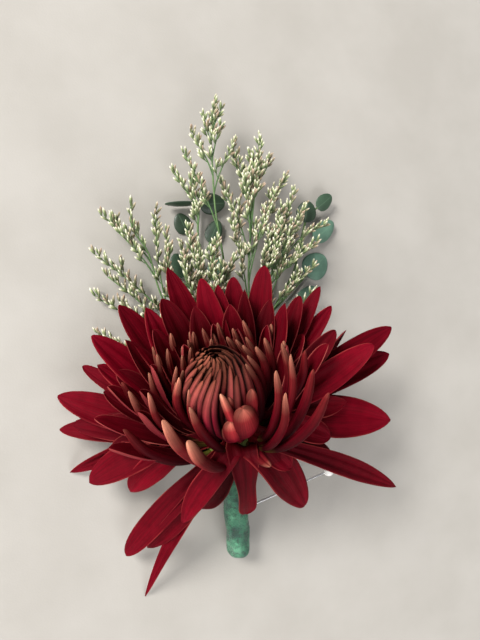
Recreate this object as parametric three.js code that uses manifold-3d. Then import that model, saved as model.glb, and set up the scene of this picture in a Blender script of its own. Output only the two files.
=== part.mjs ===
// A boutonniere laid on its back on a table: one large dark red chrysanthemum with an incurved heart,
// sprays of sea lavender in bud and two twigs of small-leaved eucalyptus behind it, their stems bound
// together in green floral tape, and a pearl-headed pin pushed through the tape.
// Millimetres and degrees. The table is z = 0, the cut ends point to -Y and the foliage fans out to +Y.
import * as THREE from "three";
import { mergeVertices } from "three/addons/utils/BufferGeometryUtils.js";
import Module from "manifold-3d";

const wasm = await Module();
wasm.setup();

// The bloom. Compass bearings run anticlockwise from +X, and a rise is above the table.
const HEART = new THREE.Vector3(0, 0, 27);
const FACING = bearing(113, 28);
const RECEPTACLE = { across: 10.5, along: 7 };
const CALYX_GAP = 0.3;
const CALYX_PROFILE = [
  [0, -11.5], [2.6, -11.5], [3.4, -10.4], [6.2, -8.6], [8.2, -6.4], [9, -4.6], [0, -4.6],
];

// The incurved dome of florets, a blunt barrel on a narrower foot round the line that the bloom faces along.
// The florets stand out of it side by side and twist towards its crown. Every other one stops short, and the
// crown is hollow.
const DOME = {
  middle: 16, along: 18, across: 11.4, squareness: 2.5, footAcross: 7, florets: 16, bulge: 0.9, dip: 0.5,
  twist: 40, shortTo: 30, hollowAcross: 3.4, hollowTo: 30,
};
const DOME_HEIGHTS = [4, 11, 18, 24, 28, 31, 33];

// The quilled florets that stand round the dome like fingers: turn round the facing line from the side
// nearest the table, lean from that line, length and width.
const FINGERS = [
  [-128, 51, 27, 5], [-115, 31, 26, 4.2], [-96, 54, 38, 4.4], [-93, 36, 36, 3.4], [-70, 28, 28, 3.2],
  [-60, 50, 39, 3.8], [-43, 36, 36, 3], [-20, 36, 38, 3.2], [0, 42, 36, 3.4], [12, 26, 35.5, 3],
  [31, 27, 36, 3], [40, 42, 37, 3.4], [54, 33, 36.5, 3.2], [66, 47, 37, 3.6], [84, 46, 34, 3.4],
  [88, 29, 31, 3.6], [100, 38, 35, 3.6], [123, 50, 38, 4.2], [140, 56, 41, 4.4], [145, 46, 32, 3.6],
  [-163, 24, 28, 3.2],
];
const FINGER = { leanMore: 34, mostLean: 84, arch: 0.45, hook: 1.3, sway: 0 };

// The fat ones in front of the dome, folded over themselves: turn, lean, length, width, sway and hook.
const FOLDED = [
  [176, 38, 24.5, 8, 0, 2.2], [-165, 36, 22.5, 4.8, 0, 1.2], [154, 31, 26.5, 4.6, -1.5, 1.6],
  [-176, 27, 24.5, 3.6, -2, 2.4], [177, 72, 25, 4.8, 0, 1.6],
];
const FOLD = { leanMore: 24, mostLean: 88, arch: 0.6 };

// A quill's width at its root and tip as shares of its full width, its depth as a share of its width, and the
// shares of its length that it is made through.
const QUILL = { rootShare: 0.4, tipShare: 0.3, widestAt: 0.6, flat: 0.82, stations: [0, 0.45, 0.85, 1] };

// The row of open florets under the fingers: lean from the facing line at the tip and at the root, length,
// width, how far a floret arches out, and the least rise where the foliage presses from below.
const MIDDLE_ROW = {
  count: 15, lean: 63, length: 42, width: 6.8, rootLean: 86, arch: 0.3, channel: 1.2, lowest: 0,
};
const MIDDLE_STATIONS = [0, 0.3, 0.62, 0.88, 1];
const PRESSED_AWAY = -24;
const SKY_SIDE = 105;

// The long outer florets: bearing, reach and height of the tip from the bloom's foot on the table, width,
// arch, and roll about the floret's own length.
const OUTER_FLORETS = [
  [112, 57.5, 25, 9, 0.08, 8], [103, 51, 29, 9, 0.1, -8], [97, 48.5, 28, 9, 0.08, 8],
  [90, 51, 26, 9, 0.08, 0], [80, 55.5, 28, 9, 0.1, 5], [70, 45, 33, 8, 0.15, -10],
  [58, 57, 26, 6.5, 0.12, -15], [51, 54, 26, 7, 0.12, 15], [40, 52, 27, 5, 0.12, 55],
  [29, 63, 30, 9, 0.15, -5], [34, 50, 32, 5.5, 0.15, 50], [30, 51, 36, 12, 0.2, 0],
  [22, 60, 27, 10, 0.2, -10], [-1, 30, 35, 8, 0.35, 0], [2, 57, 25, 14, 0.2, 5],
  [-21, 69, 15, 8, 0.2, 8], [-45, 37, 20, 12, 0.34, 10], [-30, 20, 33, 9, 0.3, 8],
  [-78, 29, 20, 10, 0.4, -14], [-114, 31, 21, 11, 0.4, 6], [-122, 48, 8, 9, 0.12, -8],
  [-127, 54, 4, 9, 0.1, 8], [-113, 65, 0.4, 5, 0.05, 30], [-147, 38, 9, 9, 0.36, 0],
  [-160, 47, 8, 11, 0.34, 6], [-164, 53, 0.8, 5.5, 0.34, -35], [179, 54, 6, 9, 0.32, 8],
  [176, 50, 12, 10, 0.28, -5], [167, 56, 11, 11, 0.25, 4], [155, 52, 10, 6, 0.15, -25],
  [152, 48, 16, 8, 0.15, 10], [144, 54.5, 20, 11, 0.12, -8], [131, 55, 22, 10, 0.1, 6],
  [125, 49.5, 27, 10, 0.1, -6],
];

// What changes with an outer floret's lean: the lean at its root, how far its upper face turns to the sky,
// and how far its root moves round to the bloom's sky side.
const ROOT_LEAN = { between: [80, 64], over: [85, 125] };
const SKYWARD = { most: 0.85, over: [25, 80] };
const GATHERED = { most: 0.75, over: [95, 135] };

// How a floret widens along its length, as shares of the length and of the full width.
const OUTER_STATIONS = [0, 0.28, 0.56, 0.8, 0.94, 1];
const WIDTH = { root: 2.2, widestAt: 0.58, bluntness: 2.2, fullness: 0.7, tipShare: 0.14 };
const ROOT_DEPTH = 1.6;
const FLORET_THICKNESS = 0.8;

// The bound stems: a straight bundle from the table up to just under the bloom.
const TAPE_FOOT = new THREE.Vector3(8, -47.6, 3.5);
const TAPE_MOUTH = new THREE.Vector3(2.7, -13, 14.6);
const TAPE = { bore: 3.6, wall: 0.6, lap: 0.25, pitch: 6.5, floor: 1.3, sides: 14, rings: 14 };
const PEDUNCLE = { radius: 2.05, raised: 1.15 };
const FOLIAGE_STEM = { radius: 0.45, circle: 2.75, places: 8 };
const STEM_END = 1.8;

// The pin.
const PIN_HEAD = { centre: new THREE.Vector3(43, -19.8, 5), radius: 2 };
const PIN_SHAFT = { radius: 0.4, length: 36.5, tip: 3, point: 0.08, clearance: 0.35, sides: 8 };
const PIN_AIM = new THREE.Vector3(5.5, -29.6, 11);

// The sea lavender. Each spray has its place in the bundle, its main stem's points, and its side twigs:
// where along the stem a twig leaves, and where the tip of its last bud lies. A stem ends in a bud too.
const SPRAYS = {
  sea_lavender_left: {
    place: 7,
    stem: [
      [-3, 4, 10.5], [-9, 20, 9], [-14, 33, 8], [-19, 41, 8], [-22, 48, 8], [-26, 61, 8], [-31, 68, 9],
      [-32, 78, 10],
    ],
    twigs: [
      [0.84, [-43, 74, 7]], [0.7, [-24, 77, 11]], [0.62, [-45, 61, 6]], [0.56, [-41, 54, 4]],
      [0.5, [-45, 47, 1.5]], [0.36, [-44, 34, 2]], [0.66, [-20, 69, 10]], [0.8, [-38, 69, 10]],
      [0.48, [-37, 45, 7]],
    ],
  },
  sea_lavender_inner_left: {
    place: 6,
    stem: [
      [-1, 5, 8.5], [-4, 25, 6.5], [-6, 45, 6], [-6, 58, 6], [-8, 68, 6], [-8, 76, 6.5], [-14, 85, 7],
      [-18, 91, 7],
    ],
    twigs: [[0.82, [-7, 86, 7]], [0.88, [-12, 89, 9]]],
  },
  sea_lavender_tall: {
    place: 4,
    stem: [
      [1.2, 5, 9.4], [2, 25, 9], [2, 44, 11], [0, 58, 12], [-3, 76, 12], [-4, 90, 12], [-4.5, 102, 12],
      [-3, 116, 12],
    ],
    twigs: [
      [0.72, [-15, 97, 11]], [0.8, [5, 102, 12]], [0.84, [-13, 104, 12]], [0.9, [-8, 110, 12]],
      [0.93, [0, 113, 12]], [0.87, [-1, 107, 14]],
    ],
  },
  sea_lavender_centre: {
    place: 2,
    stem: [
      [4.5, 5, 9.8], [8, 25, 9], [10, 44, 9], [10, 57, 9], [11, 70, 9], [11, 79, 10], [13, 90, 10],
      [14, 104, 10],
    ],
    twigs: [
      [0.81, [3, 100, 10.4]], [0.72, [-1, 88, 9]], [0.69, [24, 91, 10]], [0.85, [18, 98, 9]],
      [0.6, [3, 75, 10]], [0.86, [9, 97, 13]], [0.79, [12, 94, 15]], [0.76, [7, 90, 14]],
      [0.66, [19, 84, 13]],
    ],
  },
  sea_lavender_right: {
    place: 1,
    stem: [[7, 6, 10], [12, 25, 8.5], [15, 44, 8], [19, 54, 8], [25, 62, 8.5], [33, 70, 9], [42, 74, 9]],
    twigs: [
      [0.56, [32, 81, 9]], [0.58, [27, 86, 11]], [0.62, [22, 80, 12]], [0.68, [22, 73, 13]],
      [0.74, [29, 76, 13]], [0.6, [37, 59, 7]], [0.72, [37, 67, 10]], [0.5, [37, 49, 8]],
      [0.54, [17, 70, 12]],
    ],
  },
  sea_lavender_low: {
    place: 8,
    stem: [[-3, 6, 12.5], [-5, 25, 12.5], [-7, 42, 14], [-9, 54, 15], [-10, 64, 16]],
    twigs: [
      [0.72, [-16, 64, 15]], [0.8, [-14, 70, 16]], [0.78, [-3, 66, 16]], [0.7, [3, 60, 17]],
      [0.62, [-22, 56, 14]], [0.66, [-16, 58, 18]], [0.64, [-2, 57, 19]],
    ],
  },
};
const TWIG = { stemRadius: 0.55, tipRadius: 0.3, radius: 0.32, reach: 0.42, short: 2.8 };
const STEM_STEPS = 16;
const TWIG_STEPS = 3;
const BUD = {
  length: 3.6, radius: 0.72, sunk: 0.12, spacing: 4, bareShare: 0.4, bareStemShare: 0.9,
  upright: 0.6, splay: 0.7, lift: 0.3,
};
const BUD_PROFILE = [[0, 0], [BUD.radius, 0.6], [0, 1]];
const FOLIAGE_GAP = 0.3;
const OWN_GAP = 0.05;

// The eucalyptus. Each leaf has its root on the twig, its centre, length, width and tilt.
const TWIGS_OF_LEAVES = {
  eucalyptus_left: {
    place: 5,
    stem: [[0.5, 4, 6], [-2, 25, 3], [-5, 45, 2.4], [-7, 62, 2], [-7, 76, 2], [-6, 82, 2]],
    leaves: [
      [0.94, [-14, 79.5, 3.2], 11, 5, -75], [0.98, [-2, 80, 2.5], 9.5, 7.5, 12],
      [0.84, [-12.5, 72.5, 0], 8, 6.5, 0], [0.8, [-1, 70, 1.2], 9, 6, -8],
      [0.62, [-14, 57, 2], 9, 7, 10], [0.6, [0, 56, 1.6], 9, 7, -6],
    ],
  },
  eucalyptus_right: {
    place: 3,
    stem: [[5, 5, 6], [13, 25, 3], [22, 42, 2.4], [30, 56, 2], [33, 68, 2], [36, 78, 2.2], [38, 81, 2.6]],
    leaves: [
      [0.98, [42, 83.5, 3.6], 8, 6, 15], [0.9, [34.5, 79, 4], 8.5, 7.5, -14],
      [0.86, [42.5, 72.5, 2], 11, 7.5, 12], [0.68, [40, 59, 0], 11, 10.5, 0],
      [0.62, [24, 63, 1], 10, 8, -6], [0.5, [35, 46, 2], 12, 8, 10],
    ],
  },
};
const LEAF = { thickness: 0.7, points: 10, crown: 0.5, stalk: 0.45 };

const COLOUR = {
  red: [0x7d0f1e, 0.55, 0],
  calyx: [0x6d8a3c, 0.6, 0],
  lavender: [0xa9b98a, 0.75, 0],
  leaf: [0x3f6a55, 0.5, 0],
  tape: [0x3f9468, 0.7, 0],
  steel: [0xc8c8c8, 0.25, 1],
  pearl: [0xf4f0e8, 0.2, 0],
};

// Unit vector with a compass bearing and a rise above the table.
function bearing(aim, rise = 0) {
  const a = THREE.MathUtils.degToRad(aim);
  const r = THREE.MathUtils.degToRad(rise);
  return new THREE.Vector3(Math.cos(a) * Math.cos(r), Math.sin(a) * Math.cos(r), Math.sin(r));
}

// A repeatable scatter between -1 and 1, one value for each number.
function scatter(seed) {
  const wave = Math.sin(seed * 12.9898) * 43758.5453;
  return 2 * (wave - Math.floor(wave)) - 1;
}

function point(x, y, z) {
  return new THREE.Vector3(x, y, z);
}

// base + direction * distance, without changing either.
function along(base, direction, distance) {
  return base.clone().addScaledVector(direction, distance);
}

// The part of a direction that is square to an axis, as a unit vector.
function squareTo(direction, axis) {
  return along(direction, axis, -direction.dot(axis)).normalize();
}

// A solid from any closed geometry.
function solidOf(geometry, tolerance = 1e-5) {
  const bare = geometry.clone();
  bare.deleteAttribute("normal");
  bare.deleteAttribute("uv");
  const merged = mergeVertices(bare, tolerance);
  return new wasm.Manifold(
    new wasm.Mesh({
      numProp: 3,
      vertProperties: merged.attributes.position.array,
      triVerts: new Uint32Array(merged.index.array),
    }),
  );
}

// A closed solid through rings of points, all with the same count, ending in flat caps. The two halves of a
// ring are split into triangles alike, so that a thin body's faces run side by side.
function loft(rings) {
  const count = rings[0].length;
  const index = [];
  for (let ring = 0; ring + 1 < rings.length; ring++) {
    for (let side = 0; side < count; side++) {
      const a = ring * count + side;
      const b = ring * count + ((side + 1) % count);
      if (side < count / 2) index.push(a, b, b + count, a, b + count, a + count);
      else index.push(a, b, a + count, b, b + count, a + count);
    }
  }
  const last = (rings.length - 1) * count;
  for (let side = 1; side + 1 < count; side++) {
    index.push(0, side + 1, side, last, last + side, last + side + 1);
  }
  const positions = rings.flat().flatMap((corner) => corner.toArray());
  return solidOf(
    new THREE.BufferGeometry()
      .setAttribute("position", new THREE.Float32BufferAttribute(positions, 3))
      .setIndex(index),
  );
}

// A round rod along a curve, with a radius for each share of its length.
function rod(curve, steps, sides, radiusAt) {
  const rings = [];
  let face = null;
  for (let step = 0; step <= steps; step++) {
    const share = step / steps;
    const centre = curve.getPoint(share);
    const run = curve.getTangent(share);
    face = squareTo(face ?? (Math.abs(run.z) < 0.9 ? point(0, 0, 1) : point(0, 1, 0)), run);
    const side = point(0, 0, 0).crossVectors(run, face);
    rings.push(
      Array.from({ length: sides }, (_, corner) => {
        const turn = (2 * Math.PI * corner) / sides;
        const arm = along(point(0, 0, 0), face, Math.cos(turn)).addScaledVector(side, Math.sin(turn));
        return along(centre, arm, radiusAt(share));
      }),
    );
  }
  return loft(rings);
}

// A solid turned from a profile of radii and heights, standing on a base along a direction.
function turned(profile, sides, base, way) {
  const corners = profile.map(([radius, height]) => new THREE.Vector2(radius, height));
  const geometry = new THREE.LatheGeometry(corners, sides);
  geometry.applyQuaternion(new THREE.Quaternion().setFromUnitVectors(point(0, 1, 0), way));
  return solidOf(geometry.translate(...base.toArray()));
}

// A straight round rod between two points.
function straightRod(from, to, radius, sides) {
  return rod(new THREE.LineCurve3(from, to), 1, sides, () => radius);
}

// A floret: a body with four corners to its section along a line of stations. Its sides may stand higher than
// its middle, which channels its upper face.
function blade(stations) {
  return loft(
    stations.map(({ centre, run, face, half, channel, depth }) => {
      const up = squareTo(face, run);
      const side = point(0, 0, 0).crossVectors(up, run);
      return [
        along(along(centre, side, half), up, channel),
        along(centre, up, depth),
        along(along(centre, side, -half), up, channel),
        along(centre, up, -depth),
      ];
    }),
  );
}

// A value that passes smoothly from one to another while x passes over a range.
function passing([from, to], x, [low, high]) {
  return THREE.MathUtils.lerp(from, to, THREE.MathUtils.smoothstep(x, low, high));
}

// A floret's width at a share of its length: narrower at the root, rounded at the tip.
function floretWidth(width, share) {
  if (share < WIDTH.widestAt) return passing([WIDTH.root, width], share, [0, WIDTH.widestAt]);
  const past = (share - WIDTH.widestAt) / (1 - WIDTH.widestAt);
  return width * Math.max(WIDTH.tipShare, (1 - past ** WIDTH.bluntness) ** WIDTH.fullness);
}

// How far the receptacle reaches from its middle in a direction.
function receptacleReach(way) {
  const facing = way.dot(FACING);
  const level = 1 - facing * facing;
  return 1 / Math.sqrt(level / RECEPTACLE.across ** 2 + facing ** 2 / RECEPTACLE.along ** 2);
}

// The line of a floret from inside the receptacle to a tip. It leaves at a lean and arches over.
function floretLine(outward, lean, arch, tip) {
  const way = leaning(lean, outward);
  const root = along(HEART, way, receptacleReach(way) - ROOT_DEPTH);
  return new THREE.QuadraticBezierCurve3(root, along(root, way, arch * root.distanceTo(tip)), tip);
}

// An open floret. Its upper face turns from the facing line towards the sky by a share of its length, and its
// root may be moved round to the bloom's sky side.
function floret({
  tip, width, rootLean, arch, roll, skyward = 0, gathered = 0, channel = 1, stations = OUTER_STATIONS,
}) {
  const outward = squareTo(squareTo(tip.clone().sub(HEART), FACING).lerp(DOWNSIDE, -gathered), FACING);
  const curve = floretLine(outward, rootLean, arch, tip);
  const side = point(0, 0, 0).crossVectors(FACING, tip.clone().sub(curve.v0));
  return blade(
    stations.map((share) => {
      const run = curve.getTangentAt(share);
      const face = point(0, 0, 0).crossVectors(run, side).normalize();
      face.lerp(point(0, 0, 1), skyward * Math.min(1, 1.4 * share + gathered));
      const half = floretWidth(width, share) / 2;
      return {
        centre: curve.getPointAt(share),
        run,
        face: squareTo(face, run).applyAxisAngle(run, THREE.MathUtils.degToRad(roll * share)),
        half,
        channel: (channel * half) / (width / 2),
        depth: FLORET_THICKNESS / 2,
      };
    }),
  );
}

// A floret rolled into a finger. Its tip hooks towards the dome and its middle sways to one side.
function quill({ turn, lean, length, width, rootLean, arch, hook, sway }) {
  const end = along(HEART, leaning(lean, outwardAt(turn)), length);
  const chord = end.clone().sub(HEART);
  const tip = along(end, squareTo(FACING, chord), -hook);
  const curve = floretLine(squareTo(chord, FACING), rootLean, arch, tip);
  const side = point(0, 0, 0).crossVectors(FACING, chord);
  return blade(
    QUILL.stations.map((share) => {
      const run = curve.getTangentAt(share);
      const face = squareTo(point(0, 0, 0).crossVectors(run, side), run);
      const fullness = share < 1 ? passing([QUILL.rootShare, 1], share, [0, QUILL.widestAt]) : QUILL.tipShare;
      const half = (width / 2) * fullness;
      const centre = curve
        .getPointAt(share)
        .addScaledVector(point(0, 0, 0).crossVectors(face, run), sway * Math.sin(Math.PI * share))
        .addScaledVector(face, passing([0, hook], share, [0.6, 1]));
      return { centre, run, face, half, channel: 0, depth: QUILL.flat * half };
    }),
  );
}

// The direction at a lean from the facing line towards an outward direction.
function leaning(lean, outward) {
  const angle = THREE.MathUtils.degToRad(lean);
  return along(point(0, 0, 0), FACING, Math.cos(angle)).addScaledVector(outward, Math.sin(angle));
}

const DOWNSIDE = squareTo(point(0, 0, -1), FACING);
const RIGHTSIDE = point(0, 0, 0).crossVectors(DOWNSIDE, FACING);

// The outward direction at a turn round the facing line, from the side nearest the table.
function outwardAt(turn) {
  const angle = THREE.MathUtils.degToRad(turn);
  return along(point(0, 0, 0), DOWNSIDE, Math.cos(angle)).addScaledVector(RIGHTSIDE, Math.sin(angle));
}

function riseOf(direction) {
  return THREE.MathUtils.radToDeg(Math.asin(direction.z));
}

// The direction with the same bearing that rises at least so far.
function lifted(direction, least) {
  const aim = THREE.MathUtils.radToDeg(Math.atan2(direction.y, direction.x));
  return bearing(aim, Math.max(least, riseOf(direction)));
}

// The open middle row. Where the foliage presses from below, a floret is lifted off it. The lowest and those
// on the sky side are left out, where the outer florets and the fingers lie instead.
function middleFlorets() {
  const { count, lean, length, lowest, ...shape } = MIDDLE_ROW;
  const florets = [];
  for (let place = 0; place < count; place++) {
    const seed = 300 + place;
    const turn = (360 / count) * (place + 1 + 0.16 * scatter(seed));
    const free = leaning(lean + 3 * scatter(seed + 0.3), outwardAt(turn));
    const fromBelow = Math.abs(THREE.MathUtils.euclideanModulo(turn + 180, 360) - 180);
    if (riseOf(free) < PRESSED_AWAY || fromBelow > SKY_SIDE) continue;
    const tip = along(HEART, lifted(free, lowest), length * (1 + 0.06 * scatter(seed + 0.6)));
    florets.push(floret({ ...shape, tip, roll: 14 * scatter(seed + 0.8), stations: MIDDLE_STATIONS }));
  }
  return florets;
}

// The outer florets. The more one leans back, the further back it leaves the bloom and the more it lies flat.
function outerFlorets() {
  return OUTER_FLORETS.map(([aim, reach, height, width, arch, roll]) => {
    const tip = bearing(aim).multiplyScalar(reach).setZ(height);
    const lean = THREE.MathUtils.radToDeg(tip.clone().sub(HEART).angleTo(FACING));
    const rootLean = passing(ROOT_LEAN.between, lean, ROOT_LEAN.over);
    const skyward = passing([0, SKYWARD.most], lean, SKYWARD.over);
    const gathered = passing([0, GATHERED.most], lean, GATHERED.over);
    return floret({ tip, width, rootLean, arch, roll, skyward, gathered });
  });
}

function fingers() {
  return FINGERS.map(([turn, lean, length, width]) => {
    const rootLean = Math.min(lean + FINGER.leanMore, FINGER.mostLean);
    return quill({ ...FINGER, turn, lean, length, width, rootLean });
  });
}

function foldedFlorets() {
  return FOLDED.map(([turn, lean, length, width, sway, hook]) => {
    const rootLean = Math.min(lean + FOLD.leanMore, FOLD.mostLean);
    return quill({ ...FOLD, turn, lean, length, width, rootLean, hook, sway });
  });
}

// A ring of the dome: its height along the facing line, its radius, and how far each floret stands out of it.
function domeRing(height, radius, share) {
  return Array.from({ length: 2 * DOME.florets }, (_, place) => {
    const stopped = place % 4 === 0 && height > DOME.shortTo;
    const ridge = place % 2 === 0 && !stopped ? DOME.bulge * share : -DOME.dip * share;
    const turn = (180 * place) / DOME.florets + DOME.twist * (height / DOME_HEIGHTS.at(-1)) ** 2.5;
    return along(HEART, FACING, height).addScaledVector(outwardAt(-turn), radius + ridge);
  });
}

function dome() {
  const rings = DOME_HEIGHTS.map((height, order) => {
    const level = Math.abs(height - DOME.middle) / DOME.along;
    const radius = DOME.across * (1 - level ** DOME.squareness) ** (1 / DOME.squareness);
    return domeRing(height, order === 0 ? DOME.footAcross : radius, 1);
  });
  return loft([...rings, domeRing(DOME.hollowTo, DOME.hollowAcross, 0.3)]);
}

// A flattened ball round the heart, square to the facing line.
function disc(across, depth) {
  const ball = new THREE.SphereGeometry(1, 14, 8).rotateX(Math.PI / 2).scale(across, across, depth);
  ball.applyQuaternion(new THREE.Quaternion().setFromUnitVectors(point(0, 0, 1), FACING));
  return solidOf(ball.translate(...HEART.toArray()));
}

// The frame of the bound bundle: its axis, its upper side and its right side.
const BUNDLE = TAPE_MOUTH.clone().sub(TAPE_FOOT).normalize();
const BUNDLE_LENGTH = TAPE_MOUTH.distanceTo(TAPE_FOOT);
const BUNDLE_TOP = squareTo(point(0, 0, 1), BUNDLE);
const BUNDLE_RIGHT = point(0, 0, 0).crossVectors(BUNDLE, BUNDLE_TOP);

// A point of the bundle at a distance from its foot, a distance from its axis and a turn from its upper side.
function inBundle(distance, radius, turn) {
  return along(TAPE_FOOT, BUNDLE, distance)
    .addScaledVector(BUNDLE_TOP, radius * Math.cos(turn))
    .addScaledVector(BUNDLE_RIGHT, radius * Math.sin(turn));
}

// The places of the foliage stems, round the lower half of the bundle from right to left.
function foliagePlace(place) {
  return Math.PI / 2 + (Math.PI * (place - 1)) / (FOLIAGE_STEM.places - 1);
}

// A foliage stem's curve: straight through the tape and then on through its own points.
function foliageCurve(place, points) {
  const turn = foliagePlace(place);
  const straight = [STEM_END, 12, 24, BUNDLE_LENGTH + 1].map((d) => inBundle(d, FOLIAGE_STEM.circle, turn));
  return new THREE.CatmullRomCurve3([...straight, ...points.map((p) => point(...p))], false, "centripetal");
}

// One body out of several that overlap: a hollow that the joining seals is filled, and a loose scrap dropped.
function joined(solids) {
  const bodies = settled(wasm.Manifold.union(solids)).decompose();
  return bodies.reduce((largest, body) => (body.volume() > largest.volume() ? body : largest));
}

// The same solid with corners that all but meet brought together.
function settled(solid) {
  return solidOf(geometryOf(solid), 1e-3);
}

function bloom() {
  const receptacle = disc(RECEPTACLE.across, RECEPTACLE.along);
  return joined([
    receptacle,
    dome(),
    ...fingers(),
    ...foldedFlorets(),
    ...middleFlorets(),
    ...outerFlorets(),
  ]);
}

// The green calyx cup under the bloom, and the flower's own stem down into the tape.
function flowerStem() {
  const inTape = [STEM_END, 14, 27, BUNDLE_LENGTH].map((d) => inBundle(d, PEDUNCLE.raised, 0));
  const underCalyx = along(HEART, FACING, CALYX_PROFILE[0][1]);
  const curve = new THREE.CatmullRomCurve3([...inTape, underCalyx], false, "centripetal");
  const seat = disc(RECEPTACLE.across + CALYX_GAP, RECEPTACLE.along + CALYX_GAP);
  const cup = turned(CALYX_PROFILE, 12, HEART, FACING);
  return joined([rod(curve, 9, 8, () => PEDUNCLE.radius), cup]).subtract(seat);
}

// The tape: a sleeve closed over the cut ends, its outside stepped where each turn laps the one before.
function tape() {
  const outer = [];
  for (let ring = 0; ring <= TAPE.rings; ring++) {
    const distance = (BUNDLE_LENGTH * ring) / TAPE.rings;
    const rounding = Math.min(1, 0.74 + 0.26 * Math.sqrt(Math.min(1, distance / 3)));
    outer.push(
      Array.from({ length: TAPE.sides }, (_, side) => {
        const turn = (2 * Math.PI * side) / TAPE.sides;
        const lap = distance / TAPE.pitch + side / TAPE.sides;
        const step = TAPE.lap * (lap - Math.floor(lap));
        return inBundle(distance, (TAPE.bore + TAPE.wall) * rounding + step, turn);
      }),
    );
  }
  const [floor, beyond] = [TAPE.floor, BUNDLE_LENGTH + 2].map((d) => inBundle(d, 0, 0));
  return loft(outer).subtract(straightRod(floor, beyond, TAPE.bore, TAPE.sides));
}

// The pin's shaft, tapering to its point.
const PIN_WAY = PIN_AIM.clone().sub(PIN_HEAD.centre).normalize();
const PIN_ROOT = along(PIN_HEAD.centre, PIN_WAY, PIN_HEAD.radius * 0.3);

function pinShaft() {
  const { radius, length, tip, point: end } = PIN_SHAFT;
  const profile = [[0, 0], [radius, 0], [radius, length - tip], [end, length], [0, length]];
  return turned(profile, PIN_SHAFT.sides, PIN_ROOT, PIN_WAY);
}

// The hole that the pin makes in what it is pushed through, and the socket in its head.
function pinHole() {
  const { radius, length, clearance, sides } = PIN_SHAFT;
  const start = along(PIN_ROOT, PIN_WAY, -clearance);
  return straightRod(start, along(PIN_ROOT, PIN_WAY, length + clearance), radius + clearance, sides);
}

function pinHead() {
  const ball = new THREE.SphereGeometry(PIN_HEAD.radius, 12, 8).translate(...PIN_HEAD.centre.toArray());
  return solidOf(ball).subtract(pinHole());
}

// Straight pieces of foliage already placed, each with a radius, so that buds can be kept clear of them.
const placed = [];

function record(curve, radius, node, twig, steps) {
  for (let step = 0; step < steps; step++) {
    const [from, to] = [step, step + 1].map((s) => curve.getPoint(s / steps));
    placed.push({ from, to, radius, node, twig });
  }
}

// The least distance between two straight pieces, near enough for buds.
function nearest(from, to, other) {
  const line = new THREE.Line3(from, to);
  const gaps = [0, 0.2, 0.4, 0.6, 0.8, 1].map((share) => {
    const sample = other.from.clone().lerp(other.to, share);
    return line.closestPointToPoint(sample, true, point(0, 0, 0)).distanceTo(sample);
  });
  return Math.min(...gaps);
}

function isClear(from, to, node, twig) {
  return placed.every((other) => {
    if (other.node === node && other.twig === twig) return true;
    const gap = other.node === node ? OWN_GAP : FOLIAGE_GAP;
    return nearest(from, to, other) > BUD.radius + other.radius + gap;
  });
}

// A bud: a slim three-sided spindle, fullest nearer its tip.
function bud(root, way) {
  return turned(BUD_PROFILE.map(([radius, share]) => [radius, share * BUD.length]), 3, root, way);
}

// Buds along a twig, standing out to alternate sides of it and towards the top of the picture.
function budsAlong({ curve, bareShare, node, twig, seed }) {
  const count = Math.max(1, Math.round((curve.getLength() * (1 - bareShare)) / BUD.spacing));
  const buds = [];
  for (let place = 0; place <= count; place++) {
    const share = THREE.MathUtils.lerp(bareShare, 1, place / count);
    const run = curve.getTangentAt(share);
    const sideways = point(0, 0, 0).crossVectors(run, point(0, 0, 1)).normalize();
    const hand = place === count ? 0 : 2 * (place % 2) - 1;
    const way = run
      .clone()
      .addScaledVector(point(0, 1, 0), BUD.upright)
      .addScaledVector(sideways, hand * BUD.splay)
      .addScaledVector(point(0, 0, 1), BUD.lift * (1 + scatter(seed + place)))
      .normalize();
    const root = along(curve.getPointAt(share), way, -BUD.sunk);
    const tip = along(root, way, BUD.length);
    if (!isClear(root, tip, node, twig)) continue;
    placed.push({ from: root, to: tip, radius: BUD.radius, node, twig });
    buds.push(bud(root, way));
  }
  return buds;
}

// The end of a twig that leaves room for its last bud before the tip.
function shortened(from, tip) {
  const back = point(...from).sub(point(...tip)).normalize();
  return along(point(...tip), back, TWIG.short).toArray();
}

// The bare frame of a spray: its stem, and the twigs that curve out of it.
function sprayFrame(node, { place, stem, twigs }) {
  const curve = foliageCurve(place, [...stem.slice(0, -1), shortened(stem.at(-2), stem.at(-1))]);
  record(curve, TWIG.stemRadius, node, "stem", STEM_STEPS);
  const side = twigs.map(([share, tip], order) => {
    const root = curve.getPointAt(share);
    const end = point(...shortened(root.toArray(), tip));
    const way = curve.getTangentAt(share).add(end.clone().sub(root).normalize()).normalize();
    const knee = along(root, way, TWIG.reach * root.distanceTo(end));
    const twig = new THREE.QuadraticBezierCurve3(root, knee, end);
    record(twig, TWIG.radius, node, order, TWIG_STEPS);
    return twig;
  });
  return { curve, side };
}

// A spray of sea lavender: its frame and the buds on it.
function spray(node, { curve, side }, seed) {
  const bound = BUNDLE_LENGTH / curve.getLength();
  const freeRadius = (share) => THREE.MathUtils.lerp(TWIG.stemRadius, TWIG.tipRadius, share);
  const stemRadius = (share) => (share < bound ? FOLIAGE_STEM.radius : freeRadius(share));
  const solids = [rod(curve, STEM_STEPS, 4, stemRadius)];
  side.forEach((twig, order) => {
    solids.push(rod(twig, TWIG_STEPS, 3, () => TWIG.radius));
    const buds = { curve: twig, bareShare: BUD.bareShare, node, twig: order, seed: seed + 20 * order };
    solids.push(...budsAlong(buds));
  });
  const tipBuds = { curve, bareShare: BUD.bareStemShare, node, twig: "stem", seed: seed + 500 };
  solids.push(...budsAlong(tipBuds));
  return joined(solids);
}

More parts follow.
